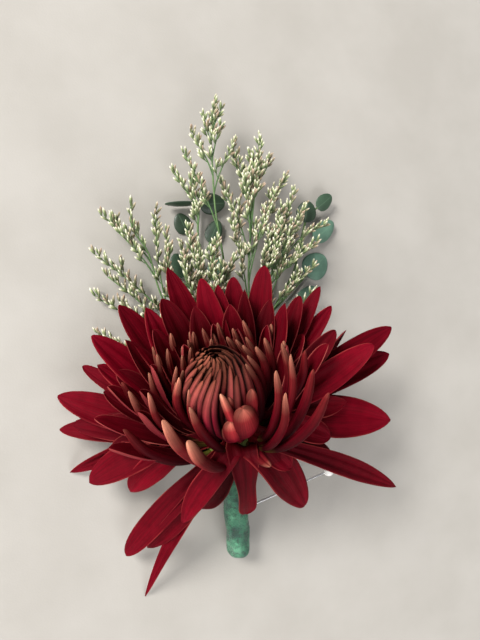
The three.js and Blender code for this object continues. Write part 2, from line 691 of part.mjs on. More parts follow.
// A round eucalyptus leaf: a thin crowned blade with the outline of an egg, on a short stalk.
function leaf(root, centre, length, width, tilt) {
  const run = centre.clone().sub(root).setZ(0).normalize();
  const level = point(0, 0, 0).crossVectors(point(0, 0, 1), run);
  const side = level.applyAxisAngle(run, THREE.MathUtils.degToRad(tilt));
  const up = point(0, 0, 0).crossVectors(run, side);
  const outline = (lift, shrink) =>
    Array.from({ length: LEAF.points }, (_, corner) => {
      const turn = (2 * Math.PI * corner) / LEAF.points;
      const across = (width / 2) * Math.sin(turn) * (1 - 0.16 * Math.cos(turn));
      return along(centre, run, (length / 2) * Math.cos(turn) * shrink)
        .addScaledVector(side, across * shrink)
        .addScaledVector(up, lift);
    });
  const plate = loft([outline(0, 1), outline(LEAF.thickness, 1), outline(LEAF.thickness + LEAF.crown, 0.55)]);
  const seat = along(along(centre, run, -length * 0.4), up, LEAF.thickness / 2);
  return [plate, straightRod(root, seat, LEAF.stalk, 3)];
}

function eucalyptus(node, { place, stem, leaves }) {
  const curve = foliageCurve(place, stem);
  record(curve, FOLIAGE_STEM.radius, node, "stem", STEM_STEPS);
  const solids = [rod(curve, STEM_STEPS, 4, () => FOLIAGE_STEM.radius)];
  for (const [share, centre, length, width, tilt] of leaves) {
    const middle = point(...centre);
    solids.push(...leaf(curve.getPointAt(share), middle, length, width, tilt));
    placed.push({ from: middle, to: middle, radius: Math.min(length, width) / 2, node, twig: "leaf" });
  }
  return joined(solids);
}

function geometryOf(solid) {
  const { vertProperties, triVerts } = solid.getMesh();
  return new THREE.BufferGeometry()
    .setAttribute("position", new THREE.BufferAttribute(vertProperties, 3))
    .setIndex(new THREE.BufferAttribute(triVerts, 1));
}

function meshFrom(name, solid, [colour, roughness, metalness]) {
  const geometry = geometryOf(solid);
  geometry.computeVertexNormals();
  const material = new THREE.MeshStandardMaterial({ color: colour, roughness, metalness });
  const mesh = new THREE.Mesh(geometry, material);
  mesh.name = name;
  return mesh;
}

const pieces = new THREE.Group();
const hole = pinHole();
pieces.add(meshFrom("bloom", bloom(), COLOUR.red));
pieces.add(meshFrom("flower_stem", flowerStem().subtract(hole), COLOUR.calyx));
for (const [name, twig] of Object.entries(TWIGS_OF_LEAVES)) {
  pieces.add(meshFrom(name, eucalyptus(name, twig), COLOUR.leaf));
}
const frames = Object.entries(SPRAYS).map(([name, shape]) => [name, sprayFrame(name, shape)]);
frames.forEach(([name, frame], order) => {
  pieces.add(meshFrom(name, spray(name, frame, 1000 * (order + 1)), COLOUR.lavender));
});
pieces.add(meshFrom("stem_tape", tape().subtract(hole), COLOUR.tape));
pieces.add(meshFrom("pin_shaft", pinShaft(), COLOUR.steel));
pieces.add(meshFrom("pin_head", pinHead(), COLOUR.pearl));

// The whole stands with the middle of its box over the origin and its lowest point on the table, to a
// hundredth of a millimetre.
const box = new THREE.Box3().setFromObject(pieces);
const foot = box.getCenter(point(0, 0, 0)).setZ(box.min.z);
pieces.position.copy(foot.multiplyScalar(-100).round().divideScalar(100));
const boutonniere = new THREE.Group().add(pieces);

export default boutonniere;
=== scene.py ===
"""The look of the boutonniere: a dark red chrysanthemum, sea lavender and eucalyptus, bound in green tape."""
import math

import bmesh
import bpy
import numpy as np
from mathutils import Matrix, Vector


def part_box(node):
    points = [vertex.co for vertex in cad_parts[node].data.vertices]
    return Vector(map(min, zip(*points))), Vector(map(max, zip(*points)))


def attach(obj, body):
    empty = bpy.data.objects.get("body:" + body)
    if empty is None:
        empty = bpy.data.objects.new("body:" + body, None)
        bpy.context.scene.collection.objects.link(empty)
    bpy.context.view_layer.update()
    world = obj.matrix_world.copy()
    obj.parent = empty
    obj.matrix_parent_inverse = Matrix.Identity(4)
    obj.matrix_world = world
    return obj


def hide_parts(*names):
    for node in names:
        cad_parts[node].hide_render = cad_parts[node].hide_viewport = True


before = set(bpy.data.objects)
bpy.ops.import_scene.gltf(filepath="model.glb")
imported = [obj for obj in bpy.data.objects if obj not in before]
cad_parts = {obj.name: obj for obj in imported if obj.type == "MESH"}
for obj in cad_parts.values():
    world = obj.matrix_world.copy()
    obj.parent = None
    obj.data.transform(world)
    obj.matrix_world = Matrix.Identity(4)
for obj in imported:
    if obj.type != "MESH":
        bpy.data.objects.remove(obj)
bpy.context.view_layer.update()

# Lengths are in millimetres, in the flower's own frame, until a piece is built. The pin's head says where the
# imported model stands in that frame.
PIN_HEAD_CENTRE = np.array([43.0, -19.8, 5.0])
PIN_HEAD_RADIUS = 2.0
SHIFT = np.array(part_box("pin_head")[1]) * 1000 - (PIN_HEAD_CENTRE + PIN_HEAD_RADIUS)
MM = 0.001


def vec(*values):
    return np.array(values, float)


def unit(v):
    return v / max(np.linalg.norm(v), 1e-12)


def lerp(a, b, share):
    return a + (b - a) * share


def smooth(x, low, high):
    """From 0 at the low end of a range to 1 at its high end."""
    share = np.clip((x - low) / (high - low), 0, 1)
    return share * share * (3 - 2 * share)


def bearing(aim, rise=0.0):
    """The direction at an angle from +X in plan and a rise above the level, in degrees."""
    a, r = math.radians(aim), math.radians(rise)
    return vec(math.cos(a) * math.cos(r), math.sin(a) * math.cos(r), math.sin(r))


def scatter(seed):
    """A number from -1 to 1, always the same for a seed."""
    wave = math.sin(seed * 12.9898) * 43758.5453
    return 2 * (wave - math.floor(wave)) - 1


def by_turns(k):
    """-1 for an even number and 1 for an odd one."""
    return 2 * (k % 2) - 1


def tone_of(seed):
    return 0.5 + 0.5 * scatter(seed)


def square_to(direction, axis):
    return unit(direction - axis * np.dot(direction, axis))


def turned(v, axis, degrees):
    a = math.radians(degrees)
    return v * math.cos(a) + np.cross(axis, v) * math.sin(a) + axis * np.dot(axis, v) * (1 - math.cos(a))


def even(steps):
    return np.linspace(0, 1, steps + 1)


def all_round(sides):
    return np.linspace(0, 2 * math.pi, sides, endpoint=False)


def circle(turns, first, second):
    """Directions at turns round a circle, from a first direction through a second."""
    return np.cos(turns)[:, None] * first + np.sin(turns)[:, None] * second


def ring_about(axis, towards, sides):
    """Directions square to an axis, all round it from the one nearest a given direction."""
    side = square_to(towards, axis)
    return circle(all_round(sides), side, np.cross(axis, side))


# The middle of the receptacle, the way the bloom faces, and the directions square to it that are nearest the
# table and to the right of that.
HEART = vec(0, 0, 27)
FACING = bearing(113, 28)
DOWNSIDE = square_to(vec(0, 0, -1), FACING)
RIGHTSIDE = np.cross(DOWNSIDE, FACING)
UP = vec(0, 0, 1)


def swung(first, second, degrees):
    a = math.radians(degrees)
    return first * math.cos(a) + second * math.sin(a)


def leaning(lean, outward):
    return swung(FACING, outward, lean)


def outward_at(turn):
    return swung(DOWNSIDE, RIGHTSIDE, turn)


def from_heart(turn, lean, length):
    return HEART + leaning(lean, outward_at(turn)) * length


def rise_of(direction):
    return math.degrees(math.asin(direction[2]))


def lifted(direction, least):
    return bearing(math.degrees(math.atan2(direction[1], direction[0])), max(least, rise_of(direction)))


class Line:
    """A curve kept as many points, read by shares of its length."""

    STEP = 0.004

    def __init__(self, points):
        self.points = np.array(points, float)
        steps = np.linalg.norm(np.diff(self.points, axis=0), axis=1)
        self.reach = np.concatenate([[0], np.cumsum(steps)])
        self.length = self.reach[-1]

    def at(self, share):
        where = np.clip(share, 0, 1) * self.length
        return np.array([np.interp(where, self.reach, self.points[:, k]) for k in range(3)])

    def run(self, share):
        return unit(self.at(min(share + self.STEP, 1)) - self.at(max(share - self.STEP, 0)))


def bent(root, knee, tip, count=200):
    t = even(count)[:, None]
    return Line((1 - t) ** 2 * root + 2 * t * (1 - t) * knee + t**2 * tip)


def arched(root, way, arch, tip, count=200):
    """A line that leaves its root in a direction and arches over to its tip."""
    return bent(root, root + way * arch * np.linalg.norm(tip - root), tip, count)


def between(a, b, low, high, t):
    """From a at the low knot to b at the high one."""
    return a * (high - t) / (high - low) + b * (t - low) / (high - low)


SPAN_STEPS = 24


def threaded(points):
    """A centripetal Catmull-Rom line through points."""
    p = [np.array(q, float) for q in points]
    p = [2 * p[0] - p[1], *p, 2 * p[-1] - p[-2]]
    line = []
    for k in range(1, len(p) - 2):
        a, b, c, d = p[k - 1 : k + 3]
        knots = [0.0]
        for u, v in ((a, b), (b, c), (c, d)):
            knots.append(knots[-1] + max(math.sqrt(np.linalg.norm(v - u)), 1e-4))
        t0, t1, t2, t3 = knots
        for step in range(SPAN_STEPS + (k == len(p) - 3)):
            t = lerp(t1, t2, step / SPAN_STEPS)
            first, middle, last = between(a, b, t0, t1, t), between(b, c, t1, t2, t), between(c, d, t2, t3, t)
            first, last = between(first, middle, t0, t2, t), between(middle, last, t1, t3, t)
            line.append(between(first, last, t1, t2, t))
    return Line(line)


def placed(name, data):
    """A new object in the scene."""
    made = bpy.data.objects.new(name, data)
    bpy.context.scene.collection.objects.link(made)
    return made


# What is painted on a piece's points: the share of a part's length, the place across it from -1 to 1, whether
# it is the back, and a tone for each part.
VALUES = ("along", "across", "back", "tone")


class Pile:
    """Corners, faces and painted values gathered for one piece."""

    def __init__(self):
        self.corners, self.faces, self.finish = [], [], []
        self.paint = {name: [] for name in VALUES}
        self.count = 0

    def rings(self, rings, material=0, **paint):
        """Add a closed body through rings of corners, with flat ends. A painted value is one for the body, a
        row with one for each side, a column with one for each ring, or a table with one for each corner."""
        rings = np.asarray(rings, float)
        here = self.count + np.arange(rings[..., 0].size).reshape(rings.shape[:2])
        beside = np.roll(here, -1, axis=1)
        walls = np.stack([here[:-1], beside[:-1], beside[1:], here[1:]], axis=2).reshape(-1, 4)
        faces = [*walls.tolist(), here[0, ::-1].tolist(), here[-1].tolist()]
        self.faces += faces
        self.finish += [material] * len(faces)
        self.corners.append(rings.reshape(-1, 3))
        for name in VALUES:
            self.paint[name].append(np.broadcast_to(paint.get(name, 0.0), here.shape).ravel())
        self.count += here.size

    def build(self, name, materials, node):
        mesh = bpy.data.meshes.new(name)
        corners = (np.concatenate(self.corners) + SHIFT) * MM
        mesh.from_pydata(corners.tolist(), [], self.faces)
        for value in VALUES:
            layer = mesh.attributes.new(value, "FLOAT", "POINT")
            layer.data.foreach_set("value", np.concatenate(self.paint[value]).astype(np.float32))
        for material in materials:
            mesh.materials.append(material)
        mesh.polygons.foreach_set("material_index", np.array(self.finish, np.int32))
        shape = bmesh.new()
        shape.from_mesh(mesh)
        bmesh.ops.recalc_face_normals(shape, faces=shape.faces)
        shape.to_mesh(mesh)
        shape.free()
        mesh.polygons.foreach_set("use_smooth", np.ones(len(mesh.polygons), bool))
        mesh.update()
        piece = placed(name, mesh)
        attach(piece, "root")
        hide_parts(node)


def tube(pile, line, radius_at, shares, sides, tone=0.0, ribs=0.0, rib_count=0):
    """A round rod along a line, with a ring at each share of its length, and ribbed if asked."""
    face, rings = None, []
    turns = all_round(sides)
    for share in shares:
        run = line.run(share)
        start = UP if abs(run[2]) < 0.9 else vec(0, 1, 0)
        face = square_to(start if face is None else face, run)
        radius = radius_at(share) * (1 + ribs * np.cos(rib_count * turns))
        rings.append(line.at(share) + radius[:, None] * circle(turns, face, np.cross(run, face)))
    pile.rings(rings, along=shares[:, None], across=np.sin(turns), tone=tone)


# Florets. A floret is a thin blade through stations: the share of its length, the centre, the line's
# direction, the way its upper face looks, half its width, and half the angle that its section is rolled
# through.
GROOVES_AT, GROOVE_WIDTH = (-0.38, 0.38), 0.1
EDGE_WAVES, FOLD_WAVES = 9, 7.5


def floret_blade(
    pile, stations, tone, cross=13, thick=0.55, rim=0.2, ruffle=0.0, groove=0.07, folds=0.0, material=0
):
    """A blade with waved edges, two grooves and shallow folds along it, thinner at its rim and its tip."""
    across = np.linspace(-1, 1, cross)
    dents = sum(np.exp(-(((across - place) / GROOVE_WIDTH) ** 2)) for place in GROOVES_AT)
    rings = []
    for share, centre, run, face, half, fold in stations:
        up = square_to(face, run)
        side = np.cross(up, run)
        angle = across * math.radians(fold)
        radius = half / math.sin(math.radians(min(fold, 90)))
        waves = np.sin(FOLD_WAVES * across + 9 * tone + 2 * share) * (1 - smooth(share, 0.8, 1))
        height = radius * (1 - np.cos(angle))
        height += ruffle * across**2 * math.sin(EDGE_WAVES * share + 40 * tone) * np.sign(across)
        height += folds * min(1, half / 3) * waves - groove * min(1, half) * dents
        inward = circle(-angle, up, side)
        middle = centre + (radius * np.sin(angle))[:, None] * side + height[:, None] * up
        thickness = min(1, half / 1.2) * lerp(thick, rim, np.abs(across) ** 3)
        over, under = (middle + inward * hand * thickness[:, None] / 2 for hand in (1, -1))
        rings.append(np.concatenate([over, under[::-1]]))
    pile.rings(
        rings, material, along=[[station[0]] for station in stations], tone=tone,
        across=np.concatenate([across, across[::-1]]), back=np.repeat([0.0, 1.0], cross),
    )


def floret_width(width, share, root_share, taper_from, blunt, point):
    """A floret's width at a share of its length: narrower at its root, tapered to its tip from a share on."""
    if share < taper_from:
        return width * lerp(root_share, 1, smooth(share, 0, 0.55))
    past = (share - taper_from) / (1 - taper_from)
    return width * max(0.05, (1 - past**blunt) ** point)


RECEPTACLE = {"across": 10.5, "along": 7}
ROOT_DEPTH = 1.6


def receptacle_reach(way):
    facing = float(np.dot(way, FACING))
    level = 1 - facing**2
    return 1 / math.sqrt(level / RECEPTACLE["across"] ** 2 + facing**2 / RECEPTACLE["along"] ** 2)


def floret_root(tip, lean, gather):
    """Where in the receptacle a floret starts, and its direction there. Gather moves it to the sky side."""
    outward = square_to(lerp(square_to(tip - HEART, FACING), -DOWNSIDE, gather), FACING)
    way = leaning(lean, outward)
    return HEART + way * (receptacle_reach(way) - ROOT_DEPTH), way


TIP_FROM = 0.86


def station_shares(count, tip=5):
    """Even shares, closer together towards the tip."""
    towards_tip = 1 - (1 - even(tip)[1:]) ** 1.8
    return np.concatenate([np.linspace(0, TIP_FROM, count - tip), TIP_FROM + (1 - TIP_FROM) * towards_tip])


def floret(
    pile, tip, width, root_lean, arch, roll, seed, skyward=0.0, gather=0.0, *, hook, root_share, blunt,
    channel=1.0, count=22, fold_more=0.0, bend=0.0, taper_from=0.62, point=0.58, **look
):
    """An open floret, channelled and folded more towards its tip. Its face may turn to the sky, its tip hook
    up and its middle bend to one side."""
    root, way = floret_root(tip, root_lean, gather)
    line = arched(root, way, arch, tip)
    sideways = unit(np.cross(FACING, tip - root))
    base_fold = math.degrees(2 * math.atan(channel / (width / 2)))
    stations = []
    for share in station_shares(count):
        run = line.run(share)
        face = lerp(np.cross(run, sideways), UP, skyward * min(1, 1.4 * share + gather))
        face = square_to(turned(square_to(face, run), run, roll * share), run)
        swing = np.cross(face, run) * bend * math.sin(math.pi * share)
        centre = line.at(share) + swing + face * hook * smooth(share, 0.7, 1) ** 1.5
        half = floret_width(width, share, root_share, taper_from, blunt, point) / 2
        stations.append((share, centre, run, face, half, base_fold + fold_more * smooth(share, 0.25, 0.9)))
    floret_blade(pile, stations, tone_of(seed), **look)


# The long outer florets: bearing, reach and height of the tip, width, arch and roll.
OUTER_FLORETS = [
    (112, 57.5, 25, 9, 0.08, 8), (103, 51, 29, 9, 0.1, -8), (97, 48.5, 28, 9, 0.08, 8),
    (90, 51, 26, 9, 0.08, 0), (80, 55.5, 28, 9, 0.1, 5), (70, 45, 33, 8, 0.15, -10),
    (58, 57, 26, 6.5, 0.12, -15), (51, 54, 26, 7, 0.12, 15), (40, 52, 27, 5, 0.12, 55),
    (32.3, 65.2, 30, 9, 0.15, -5), (34, 50, 32, 5.5, 0.15, 50), (33.3, 52.9, 36, 9.5, 0.2, 0),
    (24.6, 61.1, 27, 10, 0.2, -10), (-1, 30, 35, 8, 0.35, 0), (2, 57, 25, 14, 0.2, 5),
    (-20.5, 69, 15.5, 7, 0.2, 8), (-45, 37, 20, 12, 0.34, 10), (-30, 18.5, 35.5, 7, 0.3, 8),
    (-78, 29, 20, 6, 0.4, -14), (-119, 31.5, 21, 7.5, 0.4, 12), (-122, 48, 8, 7.2, 0.12, -8),
    (-127, 54, 4, 8.2, 0.1, 8), (-113, 65, 0.4, 5, 0.05, 30), (-147, 38, 9, 9, 0.36, 0),
    (-160, 47, 8, 11, 0.34, 6), (-164, 53, 0.8, 5.5, 0.34, -35), (179, 54, 6, 9, 0.32, 8),
    (176, 50, 12, 10, 0.28, -5), (167, 56, 11, 11, 0.25, 4), (155, 52, 10, 6, 0.15, -25),
    (152, 48, 16, 8, 0.15, 10), (144, 54.5, 20, 11, 0.12, -8), (131, 55, 22, 10, 0.1, 6),
    (125, 49.5, 27, 10, 0.1, -6),
]
# What some of them have of their own, by their place in the list.
OWN_OUTLINES = {
    14: {"taper_from": 0.5, "blunt": 2.3, "point": 0.74, "hook": 0.4},
    15: {"root_share": 0.5, "taper_from": 0.6, "blunt": 1.7, "bend": 0.8},
    16: {"root_share": 0.9, "taper_from": 0.45, "blunt": 1.6},
    18: {"root_share": 1.6, "taper_from": 0.74, "blunt": 2.2, "point": 0.6, "ruffle": 0.5},
    19: {"root_share": 0.95, "taper_from": 0.45, "blunt": 2.0, "bend": -1.6},
    20: {"bend": 0.8},
    21: {"bend": -1.2},
    22: {"root_share": 0.7, "blunt": 1.3, "bend": -2.2},
}
# Shorter florets that lie on the outer ones and fill the ring between them and the middle rows.
UPPER_FLORETS = [
    (118, 49, 27.5, 8.5, 0.12, 5), (108, 43, 28.5, 8.5, 0.14, -5), (93, 42, 29.5, 8.5, 0.14, 6),
    (86, 47, 29, 8, 0.12, -6), (76, 45, 29.5, 8, 0.14, 8), (64, 50, 28.5, 7.5, 0.15, -8),
    (46, 47, 31.5, 7.5, 0.18, 10), (15, 38, 32.5, 7.5, 0.25, 14), (-14, 34, 26, 8, 0.25, -6),
    (160, 43, 20, 9, 0.2, 4), (171, 40, 19, 9, 0.25, -4), (138, 46, 24.5, 9, 0.15, 6),
    (150, 42, 22.5, 8.5, 0.18, -8), (-175, 38, 17, 8.5, 0.3, 6), (128, 43, 28, 8.5, 0.15, -5),
    (-110, 28, 16, 8.5, 0.34, -6),
]
ON_TABLE = 5


def outer_floret(pile, aim, reach, height, width, arch, roll, seed, **look):
    tip = bearing(aim) * reach + vec(0, 0, height)
    lean = math.degrees(math.acos(np.clip(np.dot(unit(tip - HEART), FACING), -1, 1)))
    root_lean = lerp(80, 64, smooth(lean, 85, 125))
    skyward = 0.85 * smooth(lean, 25, 80)
    gather = 0.75 * smooth(lean, 95, 135)
    floret(pile, tip, width, root_lean, arch, roll, seed, skyward, gather, cross=19, groove=0.14, **look)


def make_outer_florets():
    pile = Pile()
    for order, shape in enumerate(OUTER_FLORETS):
        look = {
            "root_share": 0.62, "ruffle": 0.25, "folds": 0.2, "bend": scatter(order + 0.7),
            "taper_from": 0.5 + 0.08 * scatter(order), "blunt": 2.8 + 0.8 * scatter(order + 0.3),
            "point": 0.64 + 0.1 * scatter(order + 0.9),
            "hook": 1.2 * scatter(order + 0.45) if shape[2] > ON_TABLE else 0,
        }
        outer_floret(pile, *shape, seed=order + 0.5, count=26, **(look | OWN_OUTLINES.get(order, {})))
    for order, shape in enumerate(UPPER_FLORETS):
        outer_floret(
            pile, *shape, seed=order + 60.5, count=24, material=1, root_share=0.62, ruffle=0.3, folds=0.22,
            bend=0.8 * scatter(order + 0.8), taper_from=0.52 + 0.08 * scatter(order + 0.1),
            blunt=2.8 + 0.7 * scatter(order + 0.4), point=0.63 + 0.1 * scatter(order + 0.6),
            hook=1.2 * scatter(order + 0.2), channel=1.5,
        )
    pile.build("bloom_outer_florets", [outer_red, upper_red_shaded], "bloom")


# Rows of open florets under the fingers. None is where the foliage presses or where the outer ones fill the
# side towards the sky.
MIDDLE_ROWS = [
    {
        "count": 14, "shift": 0.5, "lean": 46, "length": 36, "lowest": 3, "seed": 200,
        "shape": {"width": 4.6, "root_lean": 76, "arch": 0.42, "channel": 1.4, "fold_more": 34, "hook": 0.8},
    },
    {
        "count": 15, "shift": 1.0, "lean": 63, "length": 42, "lowest": 0, "seed": 300,
        "shape": {"width": 6.8, "root_lean": 86, "arch": 0.3, "channel": 1.2, "fold_more": 14, "hook": 0.5},
    },
]
PRESSED_AWAY = -24
SKY_SIDE = 105


def make_middle_florets():
    pile = Pile()
    for row in MIDDLE_ROWS:
        for place in range(row["count"]):
            seed = row["seed"] + place
            turn = (360 / row["count"]) * (place + row["shift"] + 0.16 * scatter(seed))
            free = leaning(row["lean"] + 3 * scatter(seed + 0.3), outward_at(turn))
            if rise_of(free) < PRESSED_AWAY or abs((turn + 180) % 360 - 180) > SKY_SIDE:
                continue
            tip = HEART + lifted(free, row["lowest"]) * row["length"] * (1 + 0.06 * scatter(seed + 0.6))
            floret(
                pile, tip, roll=14 * scatter(seed + 0.8), seed=seed, root_share=0.6, blunt=2.6, folds=0.15,
                ruffle=0.2, **row["shape"],
            )
    pile.build("bloom_middle_florets", [inner_red], "bloom")


# Quilled florets that stand round the dome like fingers: turn, lean, length and width.
FINGERS = [
    (-44, 25, 28, 3.4), (-70, 28, 28, 3.2), (-54, 40, 34, 3.4), (-43, 33, 36, 3.0), (-31, 32, 35, 3.0),
    (-18, 29, 33, 3.0), (-9, 27, 34, 3.0), (0, 26, 35.5, 3.0), (12, 26, 35.5, 3.0), (22, 30, 33, 2.8),
    (31, 27, 36, 3.0), (46, 30, 34, 3.0), (54, 33, 36.5, 3.2), (64, 30, 32, 3.2), (80, 36, 33, 3.4),
    (88, 29, 31, 3.6), (112, 21, 28, 3.4), (100, 38, 35, 3.6), (130, 36, 32, 3.6), (119, 40, 36, 3.4),
    (145, 46, 32, 3.6), (123, 50, 37, 4.0), (140, 56, 41, 4.1), (-115, 31, 26, 4.2), (-163, 24, 28, 3.2),
    (-82, 41, 39, 3.8), (-60, 50, 39, 5.2), (-93, 36, 36, 3.4), (84, 46, 34, 3.4), (95, 55, 35, 3.8),
    (-20, 31, 38, 3.2), (-37, 36, 38, 3.4), (20, 31, 36, 3.4), (40, 36, 37, 3.4), (66, 47, 37, 3.6),
    (0, 33, 36, 3.4), (-96, 54, 38, 4.4), (-85, 23, 30.5, 3.2), (-100, 22, 27.5, 3.3), (-57, 24, 31, 3.0),
    (75, 24, 30.5, 3.2), (60, 24, 31.5, 3.0), (97, 22, 29.5, 3.3), (-32, 24, 31.5, 3.0), (44, 24, 32, 3.0),
    (20, 23, 32, 2.8), (-14, 23, 32, 2.8),
]
# Fat florets in front, folded over themselves: turn, lean, length, width, sideways bend and hook.
FOLDED = [
    (176, 38, 24.5, 8.0, 0.0, 2.2), (-166, 40, 22.5, 5.6, 0.0, 1.4), (154, 31, 26.5, 4.6, -1.5, 1.6),
    (-175, 26, 25.5, 3.2, -0.3, 1.4),
]
# Two pale ones at the front left: turn, lean, length, width, sideways bend and seed.
PALE = [(-108, 44, 31, 4.5, 0.6, 380), (-128, 51, 27, 4.8, -0.6, 383)]
CURLED_TIP = HEART + vec(7.4, -7.6, 13.4)
QUILL_SIDES = 20
CREASE_WIDTH, CREASE_DEPTH = 0.32, 0.34


def quill(
    pile, tip, width, root_lean, arch, seed, hook, bend, taper_from, blunt, flat=0.82, gather=0.0,
    root_share=0.5, paint_to=0.96, paint_power=1.0
):
    """A floret rolled into a closed finger, with the crease where its edges meet turned to the dome."""
    root, way = floret_root(tip, root_lean, gather)
    sideways = unit(np.cross(FACING, tip - root))
    line = arched(root, way, arch, tip - square_to(FACING, tip - root) * hook)
    turns = all_round(QUILL_SIDES)
    crease = np.exp(-((np.minimum(turns, 2 * math.pi - turns) / CREASE_WIDTH) ** 2))
    shares = station_shares(22, 8)
    rings = []
    for share in shares:
        run = line.run(share)
        face = square_to(np.cross(run, sideways), run)
        side = np.cross(face, run)
        half = width / 2 * lerp(root_share, 1, smooth(share, 0, 0.5))
        if share > taper_from:
            half = width / 2 * max(0.04, (1 - ((share - taper_from) / (1 - taper_from)) ** blunt) ** 0.55)
        nod = hook * smooth(share, 0.6, 1) ** 1.6
        centre = line.at(share) + side * bend * math.sin(math.pi * share) + face * nod
        depth = CREASE_DEPTH * smooth(share, 0.02, 0.2) * (1 - smooth(share, 0.9, 1))
        rings.append(centre + half * (1 - depth * crease)[:, None] * circle(turns, flat * face, side))
    # The crease is painted with the dark face colour: partly the face showing where the edges meet and partly
    # painted shade in the crease.
    pile.rings(
        rings, along=(shares**paint_power * paint_to)[:, None], across=0.88 * np.sin(turns), back=1 - crease,
        tone=tone_of(seed),
    )


def make_quilled_florets():
    pile = Pile()
    for seed, (turn, lean, length, width) in enumerate(FINGERS, 300):
        quill(
            pile, from_heart(turn, lean, length), 0.92 * width, min(lean + 34, 84), 0.45, seed,
            hook=1.3 + 0.5 * scatter(seed + 0.2), bend=1.1 * scatter(seed + 0.5),
            taper_from=0.6 + 0.06 * scatter(seed + 0.7), blunt=2.3 + 0.4 * scatter(seed + 0.9),
            gather=0.5 * smooth(abs(turn), 80, 125), paint_to=0.96 if lean < 50 else 0.80,
        )
    for seed, (turn, lean, length, width, bend, hook) in enumerate(FOLDED, 360):
        quill(
            pile, from_heart(turn, lean, length), width, lean + 8, 0.6, seed, hook, bend, flat=0.7,
            taper_from=0.66, blunt=3.2, root_share=0.35, paint_to=0.86,
        )
    for turn, lean, length, width, bend, seed in PALE:
        quill(
            pile, from_heart(turn, lean, length), width, lean + 38, 0.42, seed, hook=1.6, bend=bend,
            taper_from=0.66, blunt=2.8, gather=0.35, root_share=0.2, paint_power=0.6,
        )
    quill(pile, CURLED_TIP, 4.2, 70, 0.5, 371, hook=0.9, bend=-1.2, taper_from=0.5, blunt=2.0)
    pile.build("bloom_quilled_florets", [quill_red], "bloom")


# The dome of incurved florets: a blunt barrel round the facing line, narrower at its foot. Its florets twist
# towards the crown, whose mouth is tilted.
DOME = {
    "middle": 16, "along": 18, "across": 10.5, "squareness": 2.5, "twist": 40, "twist_power": 5, "top": 34,
    "foot": 4.2, "foot_to": 12, "florets": 28,
}
ROUNDED_FROM = 0.88
MOUTH = {"from": 29, "tilt": 0.6, "turn": 25}
# The rings of small curled florets inside the dome's open top.
CROWN_RINGS = [
    {
        "count": 14, "step": 25.7, "shift": 0, "uneven": 3, "start": 12, "end": 32.4, "varies": 0.6,
        "seed": 760, "end_shift": 0.4,
        "shape": {"width": 1.9, "proud": -1.1, "nod": -1.1, "swirl": 2.0, "thick": 0.6, "rim": 0.35},
    },
    {
        "count": 12, "step": 30, "shift": 10, "uneven": 5, "start": 20, "end": 32.2, "varies": 0.6,
        "seed": 790, "end_shift": 0,
        "shape": {"width": 1.7, "proud": -2.4, "nod": -1.7, "swirl": 2.5, "thick": 0.5, "rim": 0.3},
    },
    {
        "count": 7, "step": 51.4, "shift": 0, "uneven": 8, "start": 24, "end": 31.9, "varies": 0.5,
        "seed": 810, "end_shift": 0,
        "shape": {"width": 1.5, "proud": -4.0, "nod": -1.6, "swirl": 3.2, "thick": 0.5, "rim": 0.3},
    },
]


def dome_radius(height):
    level = abs(height - DOME["middle"]) / DOME["along"]
    radius = DOME["across"] * max(0.02, 1 - level ** DOME["squareness"]) ** (1 / DOME["squareness"])
    return min(radius, lerp(DOME["foot"], DOME["across"], height / DOME["foot_to"]))


def incurved(pile, turn, start, end, seed, width, proud, nod, swirl, **look):
    """A floret that hugs the dome: its back outward, its tip nodding to the crown."""
    if end > MOUTH["from"]:
        end += MOUTH["tilt"] * math.cos(math.radians(turn + MOUTH["turn"]))
    points = []
    for share in even(59):
        height = lerp(start, end, share)
        radius = dome_radius(height) + proud + nod * smooth(share, 0.7, 1)
        twist = DOME["twist"] * swirl * (max(0, height) / DOME["top"]) ** DOME["twist_power"]
        points.append(HEART + FACING * height + outward_at(-(turn + twist)) * max(0.5, radius))
    line = Line(points)
    stations = []
    for share in station_shares(20, 7):
        centre = line.at(share)
        axis_point = HEART + FACING * np.dot(centre - HEART, FACING)
        half = width / 2 * lerp(0.7, 1, smooth(share, 0, 0.4)) * (1 - 0.42 * smooth(share, 0.55, 1))
        if share > ROUNDED_FROM:
            half *= math.sqrt(max(0.01, 1 - ((share - ROUNDED_FROM) / (1 - ROUNDED_FROM)) ** 2))
        fold = 88 + 24 * smooth(share, 0.5, 1)
        stations.append((share, centre, line.run(share), axis_point - centre, half, fold))
    floret_blade(pile, stations, tone_of(seed), **look)


def make_dome():
    """Tall and short florets by turns, and now and then a very short one."""
    pile = Pile()
    for k in range(DOME["florets"]):
        seed = 700 + k
        turn = 360 / DOME["florets"] * k + 2 * scatter(seed)
        if k % 2:
            end = 32.0 + 0.8 * scatter(seed + 0.4)
            shape = {"width": 2.5, "proud": 0.3, "nod": -0.9}
        else:
            end = 14 + 3 * scatter(seed + 0.8) if k % 8 == 4 else 29.3 + 1.6 * scatter(seed + 0.4)
            shape = {"width": 2.8, "proud": 1.2, "nod": -1.0}
        incurved(pile, turn, 0.5, end, seed, swirl=1.5, cross=11, thick=0.7, rim=0.4, **shape)
    pile.build("bloom_incurved_florets", [dome_red], "bloom")


def make_crown():
    pile = Pile()
    for ring in CROWN_RINGS:
        for k in range(ring["count"]):
            turn = ring["step"] * k + ring["shift"] + ring["uneven"] * scatter(ring["seed"] + k)
            end = ring["end"] + ring["varies"] * scatter(ring["seed"] + k + ring["end_shift"])
            incurved(pile, turn, ring["start"], end, ring["seed"] + k, cross=9, **ring["shape"])
    pile.build("bloom_crown_florets", [crown_red], "bloom")


